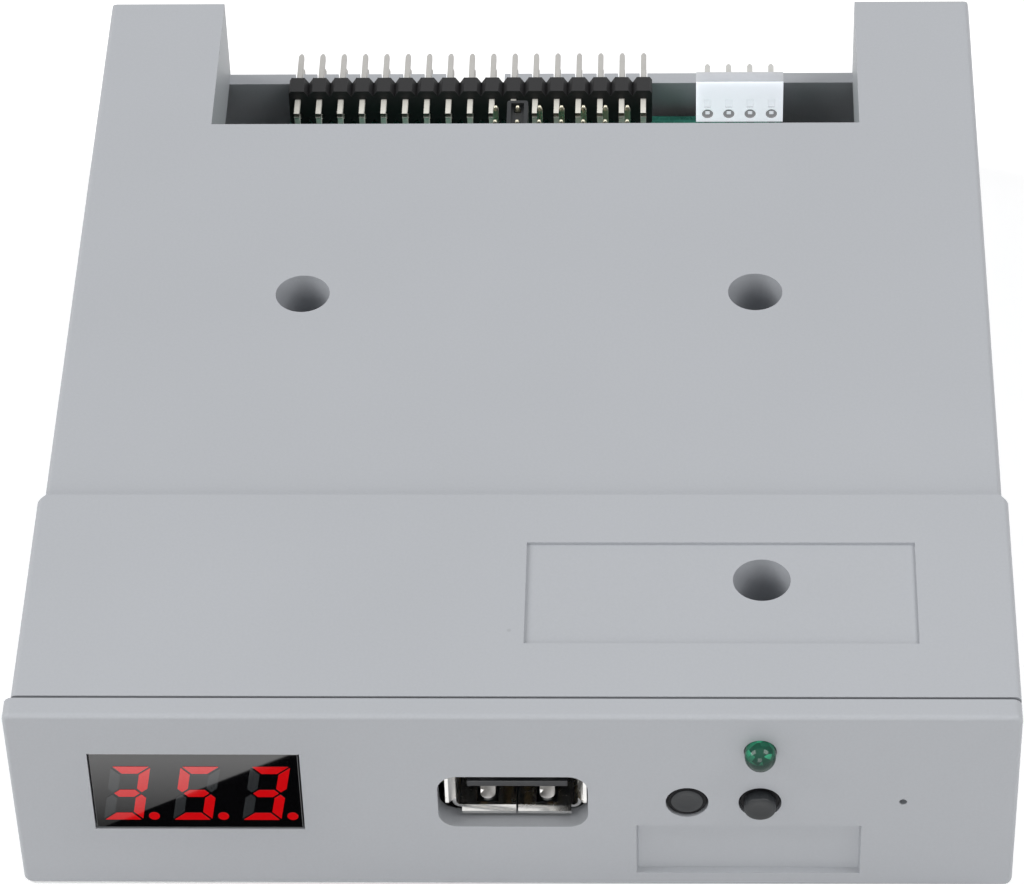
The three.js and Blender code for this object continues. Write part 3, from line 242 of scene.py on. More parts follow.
pin_slot = block("pin_slot", (-28.63, -27.73), WALL_BACK, (12.96, 15))
combined(bottom_shell, [row_of(pin_slot, WAYS)])
for x, y, top in WELLS:
    combined(bottom_shell, [bar("post", 3.8, (x, y, 1), 7.3)], "UNION")
    combined(bottom_shell, [bar("thread_hole", 1.45, (x, y, 2.7), 8)])
SCREW_CORE = 1.25
PAD_PLACE = 45  # from the case's middle
PAD_ROWS = (23.5, 93.5)
for hand in (-1, 1):
    for y in PAD_ROWS:
        sides = sorted((CASE_MIDDLE + hand * 48.9, CASE_MIDDLE + hand * 42.3))
        pad = block("pad", sides, (y - 3.5, y + 3.5), (1, 8.3))
        combined(bottom_shell, [pad], "UNION")
        combined(bottom_shell, [
            bar("side_hole", SCREW_CORE, (CASE_MIDDLE + hand * 52, y, 5), -hand * 5.3, "X"),
            bar("base_hole", SCREW_CORE, (CASE_MIDDLE + hand * PAD_PLACE, y, -1), 6.2)])
    peg = bar("peg", 1, (CASE_MIDDLE + hand * PAD_PLACE, PAD_ROWS[0], 7.8), 2.9)
    combined(bottom_shell, [peg], "UNION")
softened(bottom_shell, 0.15)


def put(tree, kind, inputs=None, **settings):
    """Adds a node with its settings, and fills its inputs with values or other nodes' outputs."""
    node = tree.nodes.new(kind)
    for name, value in settings.items():
        setattr(node, name, value)
    for name, value in (inputs or {}).items():
        if isinstance(value, bpy.types.NodeSocket):
            tree.links.new(value, node.inputs[name])
        else:
            node.inputs[name].default_value = value
    return node


def group(name, takes, gives):
    """A node group with named inputs and outputs; returns its tree, input node and output node."""
    tree = bpy.data.node_groups.new(name, "ShaderNodeTree")
    for label, kind, value in takes:
        socket = tree.interface.new_socket(label, in_out="INPUT", socket_type=kind)
        if value is not None:
            socket.default_value = value
    for label, kind in gives:
        tree.interface.new_socket(label, in_out="OUTPUT", socket_type=kind)
    return tree, put(tree, "NodeGroupInput"), put(tree, "NodeGroupOutput")


def steps_of(tree, factor, low, high, start, end):
    """A value that goes from low to high while the factor goes from start to end."""
    return put(tree, "ShaderNodeMapRange", {
        "Value": factor, "From Min": start, "From Max": end, "To Min": low, "To Max": high,
    }).outputs["Result"]


def mixed(tree, factor, first, second, blend="MIX"):
    """Two colours mixed by a factor."""
    return put(tree, "ShaderNodeMix", {0: factor, 6: first, 7: second}, data_type="RGBA",
               blend_type=blend).outputs[2]


def calc(tree, operation, first, second, **settings):
    """The result of a Math node."""
    return put(tree, "ShaderNodeMath", {0: first, 1: second}, operation=operation,
               **settings).outputs[0]


MOST = (0.3, 0.7)  # holds most values of a noise texture
SURFACE = [("Colour", "NodeSocketColor"), ("Roughness", "NodeSocketFloat"),
           ("Height", "NodeSocketFloat")]
# Surface of a moulding: slow drifts of tone, a fine spark-eroded grain, and a few dark specks.
moulded, given, result = group("moulded_surface", [
    ("Place", "NodeSocketVector", None), ("Tone", "NodeSocketColor", (0.5, 0.5, 0.5, 1)),
    ("Drift", "NodeSocketFloat", 0.03), ("Grain", "NodeSocketFloat", 3000.0),
    ("Specks", "NodeSocketFloat", 0.5), ("Roughness", "NodeSocketFloat", 0.5)], SURFACE)
drift = put(moulded, "ShaderNodeTexNoise", {
    "Vector": given.outputs["Place"], "Scale": 22.0, "Detail": 3.0, "Roughness": 0.5})
grain = put(moulded, "ShaderNodeTexNoise", {
    "Vector": given.outputs["Place"], "Scale": given.outputs["Grain"], "Detail": 2.0})
spots = put(moulded, "ShaderNodeTexVoronoi", {
    "Vector": given.outputs["Place"], "Scale": 130.0, "Randomness": 1.0}, feature="F1")
spot_core = steps_of(moulded, spots.outputs["Distance"], 1, 0, 0.022, 0.04)
spot_rare = put(moulded, "ShaderNodeSeparateColor", {"Color": spots.outputs["Color"]})
spot_kept = steps_of(moulded, spot_rare.outputs["Red"], 0, 1, 0.93, 0.97)
spot = calc(moulded, "MULTIPLY", spot_core, spot_kept)
spot_share = calc(moulded, "MULTIPLY", spot, given.outputs["Specks"])
drift_low = calc(moulded, "SUBTRACT", 1.0, given.outputs["Drift"])
drift_high = calc(moulded, "ADD", 1.0, given.outputs["Drift"])
drift_tone = steps_of(moulded, drift.outputs["Fac"], drift_low, drift_high, *MOST)
fine_tone = steps_of(moulded, grain.outputs["Fac"], 0.985, 1.015, *MOST)
tone_share = calc(moulded, "MULTIPLY", drift_tone, fine_tone)
toned = put(moulded, "ShaderNodeVectorMath", {
    0: given.outputs["Tone"], "Scale": tone_share}, operation="SCALE")
spotted = mixed(moulded, spot_share, toned.outputs[0], (0.1, 0.095, 0.09, 1))
rough = calc(moulded, "MULTIPLY", given.outputs["Roughness"],
             steps_of(moulded, drift.outputs["Fac"], 0.94, 1.06, *MOST))
moulded.links.new(spotted, result.inputs["Colour"])
moulded.links.new(rough, result.inputs["Roughness"])
moulded.links.new(grain.outputs["Fac"], result.inputs["Height"])


def emptied(look):
    """The node tree of a new material or world, with nothing in it."""
    look.use_nodes = True
    look.node_tree.nodes.clear()
    return look.node_tree


def finish(name, tree_group, inputs, depth=0.00002, **shader):
    """A material whose colour, roughness and relief come from a surface group."""
    material = bpy.data.materials.new(name)
    tree = emptied(material)
    place = put(tree, "ShaderNodeTexCoord").outputs["Object"]
    surface = tree.nodes.new("ShaderNodeGroup")
    surface.node_tree = tree_group
    tree.links.new(place, surface.inputs["Place"])
    for label, value in inputs.items():
        if isinstance(value, bpy.types.NodeSocket):
            tree.links.new(value, surface.inputs[label])
        else:
            surface.inputs[label].default_value = value
    relief = put(tree, "ShaderNodeBump", {
        "Height": surface.outputs["Height"], "Strength": 0.5, "Distance": depth})
    principled = put(tree, "ShaderNodeBsdfPrincipled", {
        "Base Color": surface.outputs["Colour"], "Roughness": surface.outputs["Roughness"],
        "Normal": relief.outputs["Normal"], **shader})
    put(tree, "ShaderNodeOutputMaterial", {"Surface": principled.outputs["BSDF"]})
    return material


def dress(piece, material, body="root", nodes=()):
    """Gives a piece its material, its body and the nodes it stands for."""
    piece.data.materials.clear()
    piece.data.materials.append(material)
    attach(piece, body)
    if nodes:
        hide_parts(*nodes)


case_plastic = finish("case_plastic", moulded, {
    "Tone": (0.424, 0.439, 0.465, 1), "Drift": 0.02, "Grain": 3500.0, "Specks": 0.5,
    "Roughness": 0.48}, 0.00001)
dress(bottom_shell, case_plastic, nodes=["bottom_shell"])

# Main board: green glass-fibre laminate, 1.6 mm thick, with its cut edges left tan. It hangs on
# the shell's posts, pads and pegs, and everything electrical is soldered to it.
board_tree, given, result = group("board_surface", [
    ("Place", "NodeSocketVector", None), ("Tone", "NodeSocketColor", (0.03, 0.19, 0.14, 1)),
    ("Low", "NodeSocketFloat", 0.0084), ("High", "NodeSocketFloat", 0.0098)], SURFACE)
tracks = put(board_tree, "ShaderNodeTexBrick", {
    "Vector": given.outputs["Place"], "Scale": 420.0, "Mortar Size": 0.035, "Bias": 0.2,
    "Color1": (0, 0, 0, 1), "Color2": (0, 0, 0, 1), "Mortar": (1, 1, 1, 1)})
weave = put(board_tree, "ShaderNodeTexNoise", {
    "Vector": given.outputs["Place"], "Scale": 900.0, "Detail": 2.0})
track = calc(board_tree, "MULTIPLY", tracks.outputs["Color"], 0.35)
mask_green = mixed(board_tree, track, given.outputs["Tone"], (0.06, 0.34, 0.25, 1))
woven = put(board_tree, "ShaderNodeVectorMath", {
    0: mask_green, "Scale": steps_of(board_tree, weave.outputs["Fac"], 0.9, 1.1, *MOST),
}, operation="SCALE")
split = put(board_tree, "ShaderNodeSeparateXYZ", {0: given.outputs["Place"]})
over = calc(board_tree, "GREATER_THAN", split.outputs["Z"], given.outputs["Low"])
under = calc(board_tree, "LESS_THAN", split.outputs["Z"], given.outputs["High"])
on_edge = calc(board_tree, "MULTIPLY", over, under)
edged = mixed(board_tree, on_edge, woven.outputs[0], (0.36, 0.33, 0.17, 1))
board_tree.links.new(edged, result.inputs["Colour"])
board_tree.links.new(steps_of(board_tree, weave.outputs["Fac"], 0.25, 0.35, *MOST),
                     result.inputs["Roughness"])
board_tree.links.new(tracks.outputs["Color"], result.inputs["Height"])


def dress_node(name, material):
    """Gives a CAD node its material."""
    cad[name].data.materials.clear()
    cad[name].data.materials.append(material)


dress_node("main_board", finish("board_green", board_tree, {}))

# Parts on the board: the controller, the crystal's can, the regulator and a capacitor. Their
# metal legs, tabs and cans are told from the black mouldings by place.
metal, given, result = group("plated_surface", [
    ("Place", "NodeSocketVector", None), ("Tone", "NodeSocketColor", (0.7, 0.7, 0.7, 1)),
    ("Rub", "NodeSocketFloat", 0.1), ("Roughness", "NodeSocketFloat", 0.25)], SURFACE)
haze = put(metal, "ShaderNodeTexNoise", {
    "Vector": given.outputs["Place"], "Scale": 700.0, "Detail": 4.0, "Roughness": 0.6})
drawn = put(metal, "ShaderNodeVectorMath", {
    0: given.outputs["Place"], 1: (9000.0, 600.0, 9000.0)}, operation="MULTIPLY")
lines = put(metal, "ShaderNodeTexNoise", {"Vector": drawn.outputs[0], "Scale": 1.0, "Detail": 2.0})
dull = calc(metal, "MULTIPLY", steps_of(metal, haze.outputs["Fac"], 0, 1, 0.35, 0.7),
            given.outputs["Rub"])
darker = mixed(metal, dull, given.outputs["Tone"], (0.25, 0.24, 0.22, 1))
rougher = calc(metal, "ADD", given.outputs["Roughness"], dull)
metal.links.new(darker, result.inputs["Colour"])
metal.links.new(rougher, result.inputs["Roughness"])
metal.links.new(lines.outputs["Fac"], result.inputs["Height"])


def node_of(tree, kind):
    """A material's node of this kind."""
    return next(node for node in tree.nodes if node.type == kind)


def two_part(name, plastic_tone, metal_tone, centre, half, plastic_rough=0.5):
    """A moulding with metal parts: what lies outside the box round centre is metal."""
    material = finish(name, moulded, {
        "Tone": plastic_tone, "Drift": 0.06, "Specks": 0.1, "Roughness": plastic_rough})
    tree = material.node_tree
    shader = node_of(tree, "BSDF_PRINCIPLED")
    plastic = node_of(tree, "GROUP")
    place = node_of(tree, "TEX_COORD").outputs["Object"]
    plated = tree.nodes.new("ShaderNodeGroup")
    plated.node_tree = metal
    tree.links.new(place, plated.inputs["Place"])
    plated.inputs["Tone"].default_value = metal_tone
    middle = at(*centre)
    near = put(tree, "ShaderNodeVectorMath", {0: place, 1: middle}, operation="SUBTRACT")
    size = put(tree, "ShaderNodeVectorMath", {0: near.outputs[0]}, operation="ABSOLUTE")
    share = put(tree, "ShaderNodeVectorMath", {
        0: size.outputs[0], 1: [h * MM for h in half]}, operation="DIVIDE")
    parts = put(tree, "ShaderNodeSeparateXYZ", {0: share.outputs[0]})
    far = calc(tree, "MAXIMUM", parts.outputs["X"], parts.outputs["Y"])
    farther = calc(tree, "MAXIMUM", far, parts.outputs["Z"])
    outside = calc(tree, "GREATER_THAN", farther, 1.0)
    colour = mixed(tree, outside, plastic.outputs["Colour"], plated.outputs["Colour"])
    rough = put(tree, "ShaderNodeMix", {
        0: outside, 2: plastic.outputs["Roughness"], 3: plated.outputs["Roughness"]}).outputs[0]
    tree.links.new(colour, shader.inputs["Base Color"])
    tree.links.new(rough, shader.inputs["Roughness"])
    tree.links.new(outside, shader.inputs["Metallic"])
    return material


BLACK = (0.012, 0.012, 0.014, 1)
TIN = (0.62, 0.62, 0.6, 1)
dress_node("microcontroller", two_part(
    "controller_black", (0.02, 0.02, 0.021, 1), TIN, (-2, 42, 11), (3.52, 3.52, 2)))
dress_node("voltage_regulator", two_part(
    "regulator_black", BLACK, TIN, (31, 84, 11), (3.3, 1.76, 3)))
can = finish("drawn_can", metal, {"Tone": (0.68, 0.68, 0.67, 1), "Rub": 0.12, "Roughness": 0.3},
             Metallic=1.0)
dress_node("crystal", can)
dress_node("electrolytic_capacitor", two_part(
    "capacitor_can", BLACK, (0.66, 0.67, 0.68, 1), (38, 73, 9.5), (4, 4, 1.6)))

# Push switches and their plungers: a black moulding in a steel frame on the board's front edge.
# The plungers are dark grey plastic, the left one sunk in its hole, the right one proud of it.
LEFT_BUTTON, RIGHT_BUTTON = 17.55, 24.9
BUTTON_HEIGHT = 12.75
for name, x in (("left_switch", LEFT_BUTTON), ("right_switch", RIGHT_BUTTON)):
    dress_node(name, two_part(name + "_black", BLACK, TIN, (x, 8.7, 12), (3.01, 5, 9)))
button_plastic = finish("button_dark_grey", moulded, {
    "Tone": (0.014, 0.016, 0.018, 1), "Drift": 0.1, "Grain": 5000.0, "Specks": 0.3,
    "Roughness": 0.4}, **{"Specular IOR Level": 0.4})
# Painted shade: each plunger is near black outside its cap, for the shade in the gap inside its
# hole.
painted_gap_shade = finish("painted_gap_shade", moulded, {
    "Tone": (0.003, 0.003, 0.004, 1), "Drift": 0.1, "Grain": 5000.0, "Specks": 0.0,
    "Roughness": 0.5}, **{"Specular IOR Level": 0.15})
SHOULDER = 0.2  # from here the plunger's face stands forward, or back, to its front
CAP_RADIUS = 1.66
for name, x, front in (("left_button", LEFT_BUTTON, 0.1), ("right_button", RIGHT_BUTTON, -1.0)):
    button = bar(name + "_cap", 2, (x, SHOULDER, BUTTON_HEIGHT), 8.4, "Y", 48)
    rounded(button, lambda mid, way: mid.y < 0.3, 0.08, 2)
    pick_faces(button, lambda mid, normal: mid.y < 0.25 and normal.dot(ALONG) < -0.99)
    bpy.ops.mesh.inset(thickness=0.3 * MM)
    bpy.ops.mesh.extrude_region_move(TRANSFORM_OT_translate={
        "value": (0, (front - SHOULDER) * MM, 0)})
    done()
    crown = min(0.2, 0.18 - front)
    rounded(button, lambda mid, way: mid.y < front + 0.02, crown, 4)
    pick_faces(button, lambda mid, normal: mid.y < front + 0.02 and normal.dot(ALONG) < -0.99)
    bpy.ops.mesh.inset(thickness=0.25 * MM)
    for width, depth in ((0.3, 0.05), (0.35, 0.04)):
        bpy.ops.mesh.inset(thickness=width * MM)
        bpy.ops.transform.translate(value=(0, depth * MM, 0))
    done()
    bpy.ops.object.shade_smooth_by_angle(angle=math.radians(40))
    dress(button, button_plastic, name, [name])
    # Faces outside the cap's radius take the painted gap shade.
    button.data.materials.append(painted_gap_shade)
    for face in button.data.polygons:
        from_axis = place_of(face.center) - Vector((x, 0, BUTTON_HEIGHT))
        face.material_index = int(math.hypot(from_axis.x, from_axis.z) > CAP_RADIUS)

# Lamp: a 3 mm lamp cast in clear green resin, with a flange at its foot; its two tinned leads
# run back over the board and down through it.
LAMP_ACROSS, LAMP_HEIGHT = 24.85, 20.35
LEG_FOOT = 7.1  # where all leads and legs end under the board
lens = bar("lamp_lens", 1.58, (LAMP_ACROSS, -2.2, LAMP_HEIGHT), 6.25, "Y", 40)
rounded(lens, lambda mid, way: mid.y < -2, 1.53, 12)
flange = bar("flange", 1.87, (LAMP_ACROSS, 3.05, LAMP_HEIGHT), 1, "Y", 40)
combined(lens, [flange], "UNION")
rounded(lens, lambda mid, way: mid.y > 3 and abs(way.dot(ALONG)) < 0.1
        and (mid - Vector((LAMP_ACROSS, mid.y, LAMP_HEIGHT))).length > 1.8, 0.15, 2)
bpy.ops.object.shade_smooth_by_angle(angle=math.radians(40))
resin = finish("lamp_green_resin", moulded, {
    "Drift": 0.1, "Grain": 900.0, "Specks": 0.0, "Roughness": 0.07},
    0.000005, **{"Transmission Weight": 0.2, "IOR": 1.38})
tree = resin.node_tree
lens_place = node_of(tree, "TEX_COORD").outputs["Object"]
lens_axes = put(tree, "ShaderNodeSeparateXYZ", {0: lens_place})
# Painted light and shade: the resin is dark green at the foot and mint towards the top, where light
# falls through the dome, with painted glints on the upper facets.
painted_top_light = steps_of(tree, lens_axes.outputs["Z"], 0, 1, 0.0206, 0.0221)
facets = put(tree, "ShaderNodeTexVoronoi", {"Vector": lens_place, "Scale": 1150.0})
facet = put(tree, "ShaderNodeSeparateColor", {"Color": facets.outputs["Color"]})
painted_glint = calc(tree, "MULTIPLY", painted_top_light, steps_of(tree, facet.outputs["Red"], 0.15, 1.5, 0.2, 0.85))
tree.links.new(mixed(tree, painted_glint, (0.002, 0.035, 0.023, 1), (0.05, 0.46, 0.25, 1)),
               node_of(tree, "GROUP").inputs["Tone"])
dress(lens, resin, nodes=["indicator_lamp"])


def bent_wire(name, x, size, start, height, leg, foot, bend):
    """A square wire that runs level from start towards the leg's place, bends and goes down."""
    toward = 1 if leg > start else -1
    turn = leg - toward * bend
    wire = block(name, (x - size / 2, x + size / 2), sorted((start, turn)),
                 (height - size / 2, height + size / 2))
    pick_faces(wire, lambda mid, normal: normal.dot(ALONG) * toward > ALIGNED)
    bpy.ops.mesh.spin(steps=6, angle=-toward * math.pi / 2, center=at(x, turn, height - bend),
                      axis=(1, 0, 0))
    bpy.ops.mesh.extrude_region_move(
        TRANSFORM_OT_translate={"value": (0, 0, (foot - height + bend) * MM)})
    bpy.ops.mesh.select_all(action="SELECT")
    bpy.ops.mesh.remove_doubles(threshold=0.001 * MM)
    bpy.ops.mesh.normals_make_consistent(inside=False)
    done()
    return wire


tinned = finish("tinned_wire", metal, {"Tone": TIN, "Rub": 0.2, "Roughness": 0.28}, Metallic=1.0)
for hand, side in ((-1, "left"), (1, "right")):
    lead = bent_wire("lamp_lead_" + side, LAMP_ACROSS + hand * PIN_PITCH / 2, 0.5, 4.05,
                     LAMP_HEIGHT, 12.95, LEG_FOOT, 1)
    softened(lead, 0.05, 1)
    dress(lead, tinned)

# USB socket: a nickel-plated steel shell, folded with a seam under it, its four lips turned out.
# Round-ended springs are pressed in; inside are the black tongue and its four gold contacts.
BOARD_TOP = 9.9
USB_SIDES = (-6.25, 6.85)
USB_INSIDE = (-5.9, 6.5)
USB_FLOOR, USB_ROOF = 10.25, 15.25
USB_TOP = 15.6
USB_WALL = 0.35
SPRINGS = (-2.725, 3.325)


def lengthwise(mid, way):
    """Whether an edge runs from front to rear."""
    return abs(way.dot(ALONG)) > ALIGNED


def ahead(mid, normal):
    """Whether a face looks to the front."""
    return normal.dot(ALONG) < -ALIGNED


usb_shell = block("usb_socket_shell", USB_SIDES, (1.9, 15.1), (BOARD_TOP, USB_TOP))
rounded(usb_shell, lengthwise, 0.9, 5)
bore = block("bore", USB_INSIDE, (0, 17), (USB_FLOOR, USB_ROOF))
rounded(bore, lengthwise, 0.55, 5)
combined(usb_shell, [bore])


def lip_plate(across, up, out):
    """A lip of the shell, turned out from the tube's front edge."""
    plate = block("lip", across, (1.9, 2.4), up)
    pick_faces(plate, ahead)
    bpy.ops.mesh.extrude_region_move(
        TRANSFORM_OT_translate={"value": [step * MM for step in out]})
    done()
    return plate


combined(usb_shell, [
    lip_plate((USB_SIDES[0], USB_INSIDE[0]), (11.3, 14.9), (-0.7, -0.7, 0)),
    lip_plate((USB_INSIDE[1], USB_SIDES[1]), (11.3, 14.9), (0.55, -0.7, 0)),
    lip_plate((-4.9, 5.5), (USB_ROOF, USB_TOP), (0, -0.6, 0.3)),
    lip_plate((-5.3, 5.8), (BOARD_TOP, USB_FLOOR), (0, -0.5, -0.42))], "UNION")
combined(usb_shell, [block("seam", (0.2, 0.4), (0, 17), (9, 10.7))])
for x in SPRINGS:
    for roof in (0, 1):
        z0, z1 = ((9.5, 10.6), (14.9, 16))[roof]
        combined(usb_shell, [block("slot", (x - 1.1, x + 1.1), (2.3, 7), (z0, z1))])
        level, lift = ((BOARD_TOP, 1), (USB_ROOF, -1))[roof]
        spring = block("spring", (x - 0.775, x + 0.775), (2.75, 7.4), (level, level + USB_WALL))
        rounded(spring, lambda mid, way: abs(way.dot(UPRIGHT)) > ALIGNED and mid.y < 3, 0.77, 8)
        pick_faces(spring, lambda mid, normal: True)
        bpy.ops.mesh.bisect(plane_co=at(x, 4, level), plane_no=ALONG)
        done()
        pick_edges(spring, lambda mid, way: abs(mid.y - 4) < 0.01)
        bpy.ops.transform.translate(value=(0, 0, lift * 1.1 * MM))
        done()
        combined(usb_shell, [spring], "UNION")
for x in (USB_SIDES[0], USB_INSIDE[1]):
    combined(usb_shell, [
        block("shoulder", (x, x + USB_WALL), (8.3, 12.7), (BOARD_TOP, 12.75)),
        block("leg", (x, x + USB_WALL), (9.4, 11.6), (LEG_FOOT, USB_FLOOR))], "UNION")
softened(usb_shell, 0.06, 2)
nickel = finish("bright_nickel", metal, {
    "Tone": (0.8, 0.79, 0.77, 1), "Rub": 0.14, "Roughness": 0.17}, 0.000002, Metallic=1.0)
# A darker, rougher copy of the nickel, for the springs' tips.
darker_nickel = finish("darker_spring_nickel", metal, {
    "Tone": (0.42, 0.41, 0.4, 1), "Rub": 0.4, "Roughness": 0.42}, 0.000002, Metallic=1.0)
dress(usb_shell, nickel, nodes=["usb_shell"])
usb_shell.data.materials.append(darker_nickel)
for face in usb_shell.data.polygons:
    mid = place_of(face.center)
    off = min(abs(mid.x - x) for x in SPRINGS)
    face.material_index = int(2.4 < mid.y < 4.5 and off < 0.8 and 10.32 < mid.z < 15.18)
tongue = block("usb_tongue", (-5.8, 6.4), (12.1, 15.1), (10.35, 15.15))
rounded(tongue, lengthwise, 0.5, 4)
combined(tongue, [block("blade", (-4.8, 5.5), (2.2, 13), (12.62, 13.45))], "UNION")
softened(tongue, 0.15, 2)
dress(tongue, finish("tongue_black", moulded, {
    "Tone": (0.017, 0.018, 0.021, 1), "Drift": 0.1, "Specks": 0.2, "Roughness": 0.4}),
    nodes=["usb_insulator"])
gold = finish("gold_flash", metal, {
    "Tone": (0.8, 0.6, 0.3, 1), "Rub": 0.15, "Roughness": 0.22}, Metallic=1.0)
for count, x in enumerate((-3.2, -0.7, 1.3, 3.8), 1):
    contact = block(f"usb_contact_{count}", (x - 0.5, x + 0.5), (3.2, 12), (12.38, 12.61))
    pick_faces(contact, ahead)
    bpy.ops.transform.resize(value=(0.7, 1, 0.6))
    done()
    softened(contact, 0.05, 2)
    dress(contact, gold)

# Display: a black-faced block with three slanted seven-segment digits, each with a round point,
# cast flush in its face. It is soldered to a small upright board, and that to the main board.
dress_node("display_board", finish("upright_board_green", board_tree, {
    "Low": 0.0, "High": 0.0}))
dress_node("display_header", two_part(
    "display_header_black", BLACK, (0.75, 0.62, 0.35, 1), (-32, 9.35, 10.8), (11, 0.91, 2)))
display = block("display_face", (-42.55, -21.45), (0.1, 7.25), (8.65, 19.7))
softened(display, 0.1, 2)
LIT = ("abcdg", "acdfg", "abcdg")  # the bars of 3, 5 and 3
DIGIT = (4.0, 8.0, 1.05, 0.17)  # width, height, thickness of a bar, lean
FIRST_DIGIT = (-41.75, 9.85)
DIGIT_PITCH = 7.05
POINT_RADIUS = 0.56


def segment(name, foot, share, flat, gap=0.2):
    """One bar of a digit with mitred ends, as a slanted prism in the display's face."""
    width, height, thick, lean = DIGIT
    middle_x = thick / 2 + share[0] * (width - thick)
    middle_z = thick / 2 + share[1] * (height - thick) if flat else share[1] * height
    reach = width / 2 - gap if flat else height / 4 - gap
    if flat and share[1] == 0.5:
        reach -= thick / 2
    rx, rz = (reach, thick / 2) if flat else (thick / 2, reach)
    piece = block(
        name, (middle_x - rx, middle_x + rx), (0.07, 0.4), (middle_z - rz, middle_z + rz))
    inner_x, inner_z = width / 2, height / 2
    mitre = thick * 0.96

    def inward(mid):
        return abs(mid.z - inner_z) < abs(middle_z - inner_z)

    def corner(mid, way):
        """The inner corners of the top and the bottom bar."""
        return lengthwise(mid, way) and flat and share[1] != 0.5 and inward(mid)

    def point(mid, way):
        """All corners of the middle bar, and an upright bar's corners next to it."""
        return lengthwise(mid, way) and (share[1] == 0.5 if flat else inward(mid))

    def side(mid, way):
        """An upright bar's inner corner at the digit's top or foot."""
        return (lengthwise(mid, way) and not flat
                and abs(mid.z - inner_z) > abs(middle_z - inner_z)
                and abs(mid.x - inner_x) < abs(middle_x - inner_x))

    for wanted, width_off in ((corner, mitre), (point, thick * 0.48), (side, mitre)):
        rounded(piece, wanted, width_off, 1)
    piece.data.transform(Matrix.Translation(-at(0, 0, 0)))
    piece.data.transform(Matrix.Shear("XY", 4, (lean, 0)))
    piece.data.transform(Matrix.Translation(at(foot[0], 0, foot[1])))
    return piece


SEGMENTS = {
    "a": ((0.5, 1), True), "b": ((1, 0.75), False), "c": ((1, 0.25), False),
    "d": ((0.5, 0), True), "e": ((0, 0.25), False), "f": ((0, 0.75), False),
    "g": ((0.5, 0.5), True)}
lit, unlit = [], []
for digit in range(3):
    foot = (FIRST_DIGIT[0] + digit * DIGIT_PITCH, FIRST_DIGIT[1])
    for key, (share, flat) in SEGMENTS.items():
        piece = segment(f"segment_{digit + 1}{key}", foot, share, flat)
        (lit if key in LIT[digit] else unlit).append(piece)
    point_place = (foot[0] + 5.2, 0.07, foot[1] + POINT_RADIUS)
    lit.append(bar(f"point_{digit + 1}", POINT_RADIUS, point_place, 0.33, "Y"))
gloss = {"Coat Weight": 1.0, "Coat Roughness": 0.02, "Coat IOR": 1.6, "IOR": 1.5}
face_black = finish("display_black", moulded, {
    "Tone": (0.002, 0.002, 0.0025, 1), "Drift": 0.05, "Specks": 0.0, "Roughness": 0.05},
    0.000001, **gloss)
segment_red = finish("segment_red", moulded, {
    "Tone": (0.52, 0.002, 0.004, 1), "Drift": 0.06, "Grain": 2500.0, "Specks": 0.0,
    "Roughness": 0.1}, 0.000001, **gloss)
segment_grey = finish("segment_unlit", moulded, {
    "Tone": (0.03, 0.033, 0.035, 1), "Drift": 0.06, "Grain": 2500.0, "Specks": 0.0,
    "Roughness": 0.1}, 0.000001, **gloss)
tree = segment_red.node_tree
shader = node_of(tree, "BSDF_PRINCIPLED")
tree.links.new(node_of(tree, "GROUP").outputs["Colour"], shader.inputs["Emission Color"])
shader.inputs["Emission Strength"].default_value = 0.3
for piece in lit + unlit:
    dress(piece, segment_red if piece in lit else segment_grey)
dress(display, face_black, nodes=["display_module"])

# Ribbon-cable header: a black moulding of two rows by 17 ways, notched between the ways, with
# square bronze pins pressed through it, bent down to the board: tinned, and painted lighter inside
# the case than outside, as a painted reflection of the lit bay.
HEADER_TOP = 14.98
LOWER_ROW, UPPER_ROW = 11.17, 13.41
header = block("ribbon_header_body", (-29.2, 13.48), (109.31, 111.85), (BOARD_TOP, HEADER_TOP))


def notches(first, count, back, z, half=0.5, depth=0.8):
    """V-shaped cutters between the ways of a pin header."""
    side = half * math.sqrt(2)
    tool = block("notch", (first - side / 2, first + side / 2), back, (z - side / 2, z + side / 2))
    pick_faces(tool, lambda mid, normal: True)
    bpy.ops.transform.rotate(value=math.pi / 4, orient_axis="Y",
                             center_override=at(first, sum(back) / 2, z))
    bpy.ops.transform.resize(value=(1, 1, depth / half))
    done()
    return row_of(tool, count)


combined(header, [
    notches(-29.45, WAYS + 1, (108, 113), height) for height in (HEADER_TOP, BOARD_TOP)])
for height in (LOWER_ROW, UPPER_ROW):
    hole = block("pin_hole", (-28.54, -27.82), (108, 113), (height - 0.36, height + 0.36))
    combined(header, [row_of(hole, WAYS)])
softened(header, 0.06, 2)
header_black = finish("header_black", moulded, {
    "Tone": (0.012, 0.012, 0.013, 1), "Drift": 0.12, "Grain": 4000.0, "Specks": 0.4,
    "Roughness": 0.55}, **{"Specular IOR Level": 0.35})
dress(header, header_black, nodes=["ribbon_header"])

pin_look = finish("pin_plate", metal, {
    "Tone": (0.6, 0.59, 0.55, 1), "Rub": 0.1, "Roughness": 0.45}, Metallic=0.25)
tree = pin_look.node_tree
pin_place = node_of(tree, "TEX_COORD").outputs["Object"]
pin_axes = put(tree, "ShaderNodeSeparateXYZ", {0: pin_place})
# Painted reflection: the pins are lighter in front of the header's middle, inside the case, than
# behind it.
inside = steps_of(tree, pin_axes.outputs["Y"], 1, 0, 0.0535, 0.0545)
tree.links.new(mixed(tree, inside, (0.52, 0.51, 0.49, 1), (0.84, 0.82, 0.75, 1)),
               node_of(tree, "GROUP").inputs["Tone"])


def tipped(piece, wanted, way, squeeze):
    """Draws the end that suits out by 0.6 mm to a blunt tip."""
    pick_faces(piece, wanted)
    bpy.ops.mesh.extrude_region_move(
        TRANSFORM_OT_translate={"value": [step * 0.6 * MM for step in way]})
    bpy.ops.transform.resize(value=squeeze)
    done()


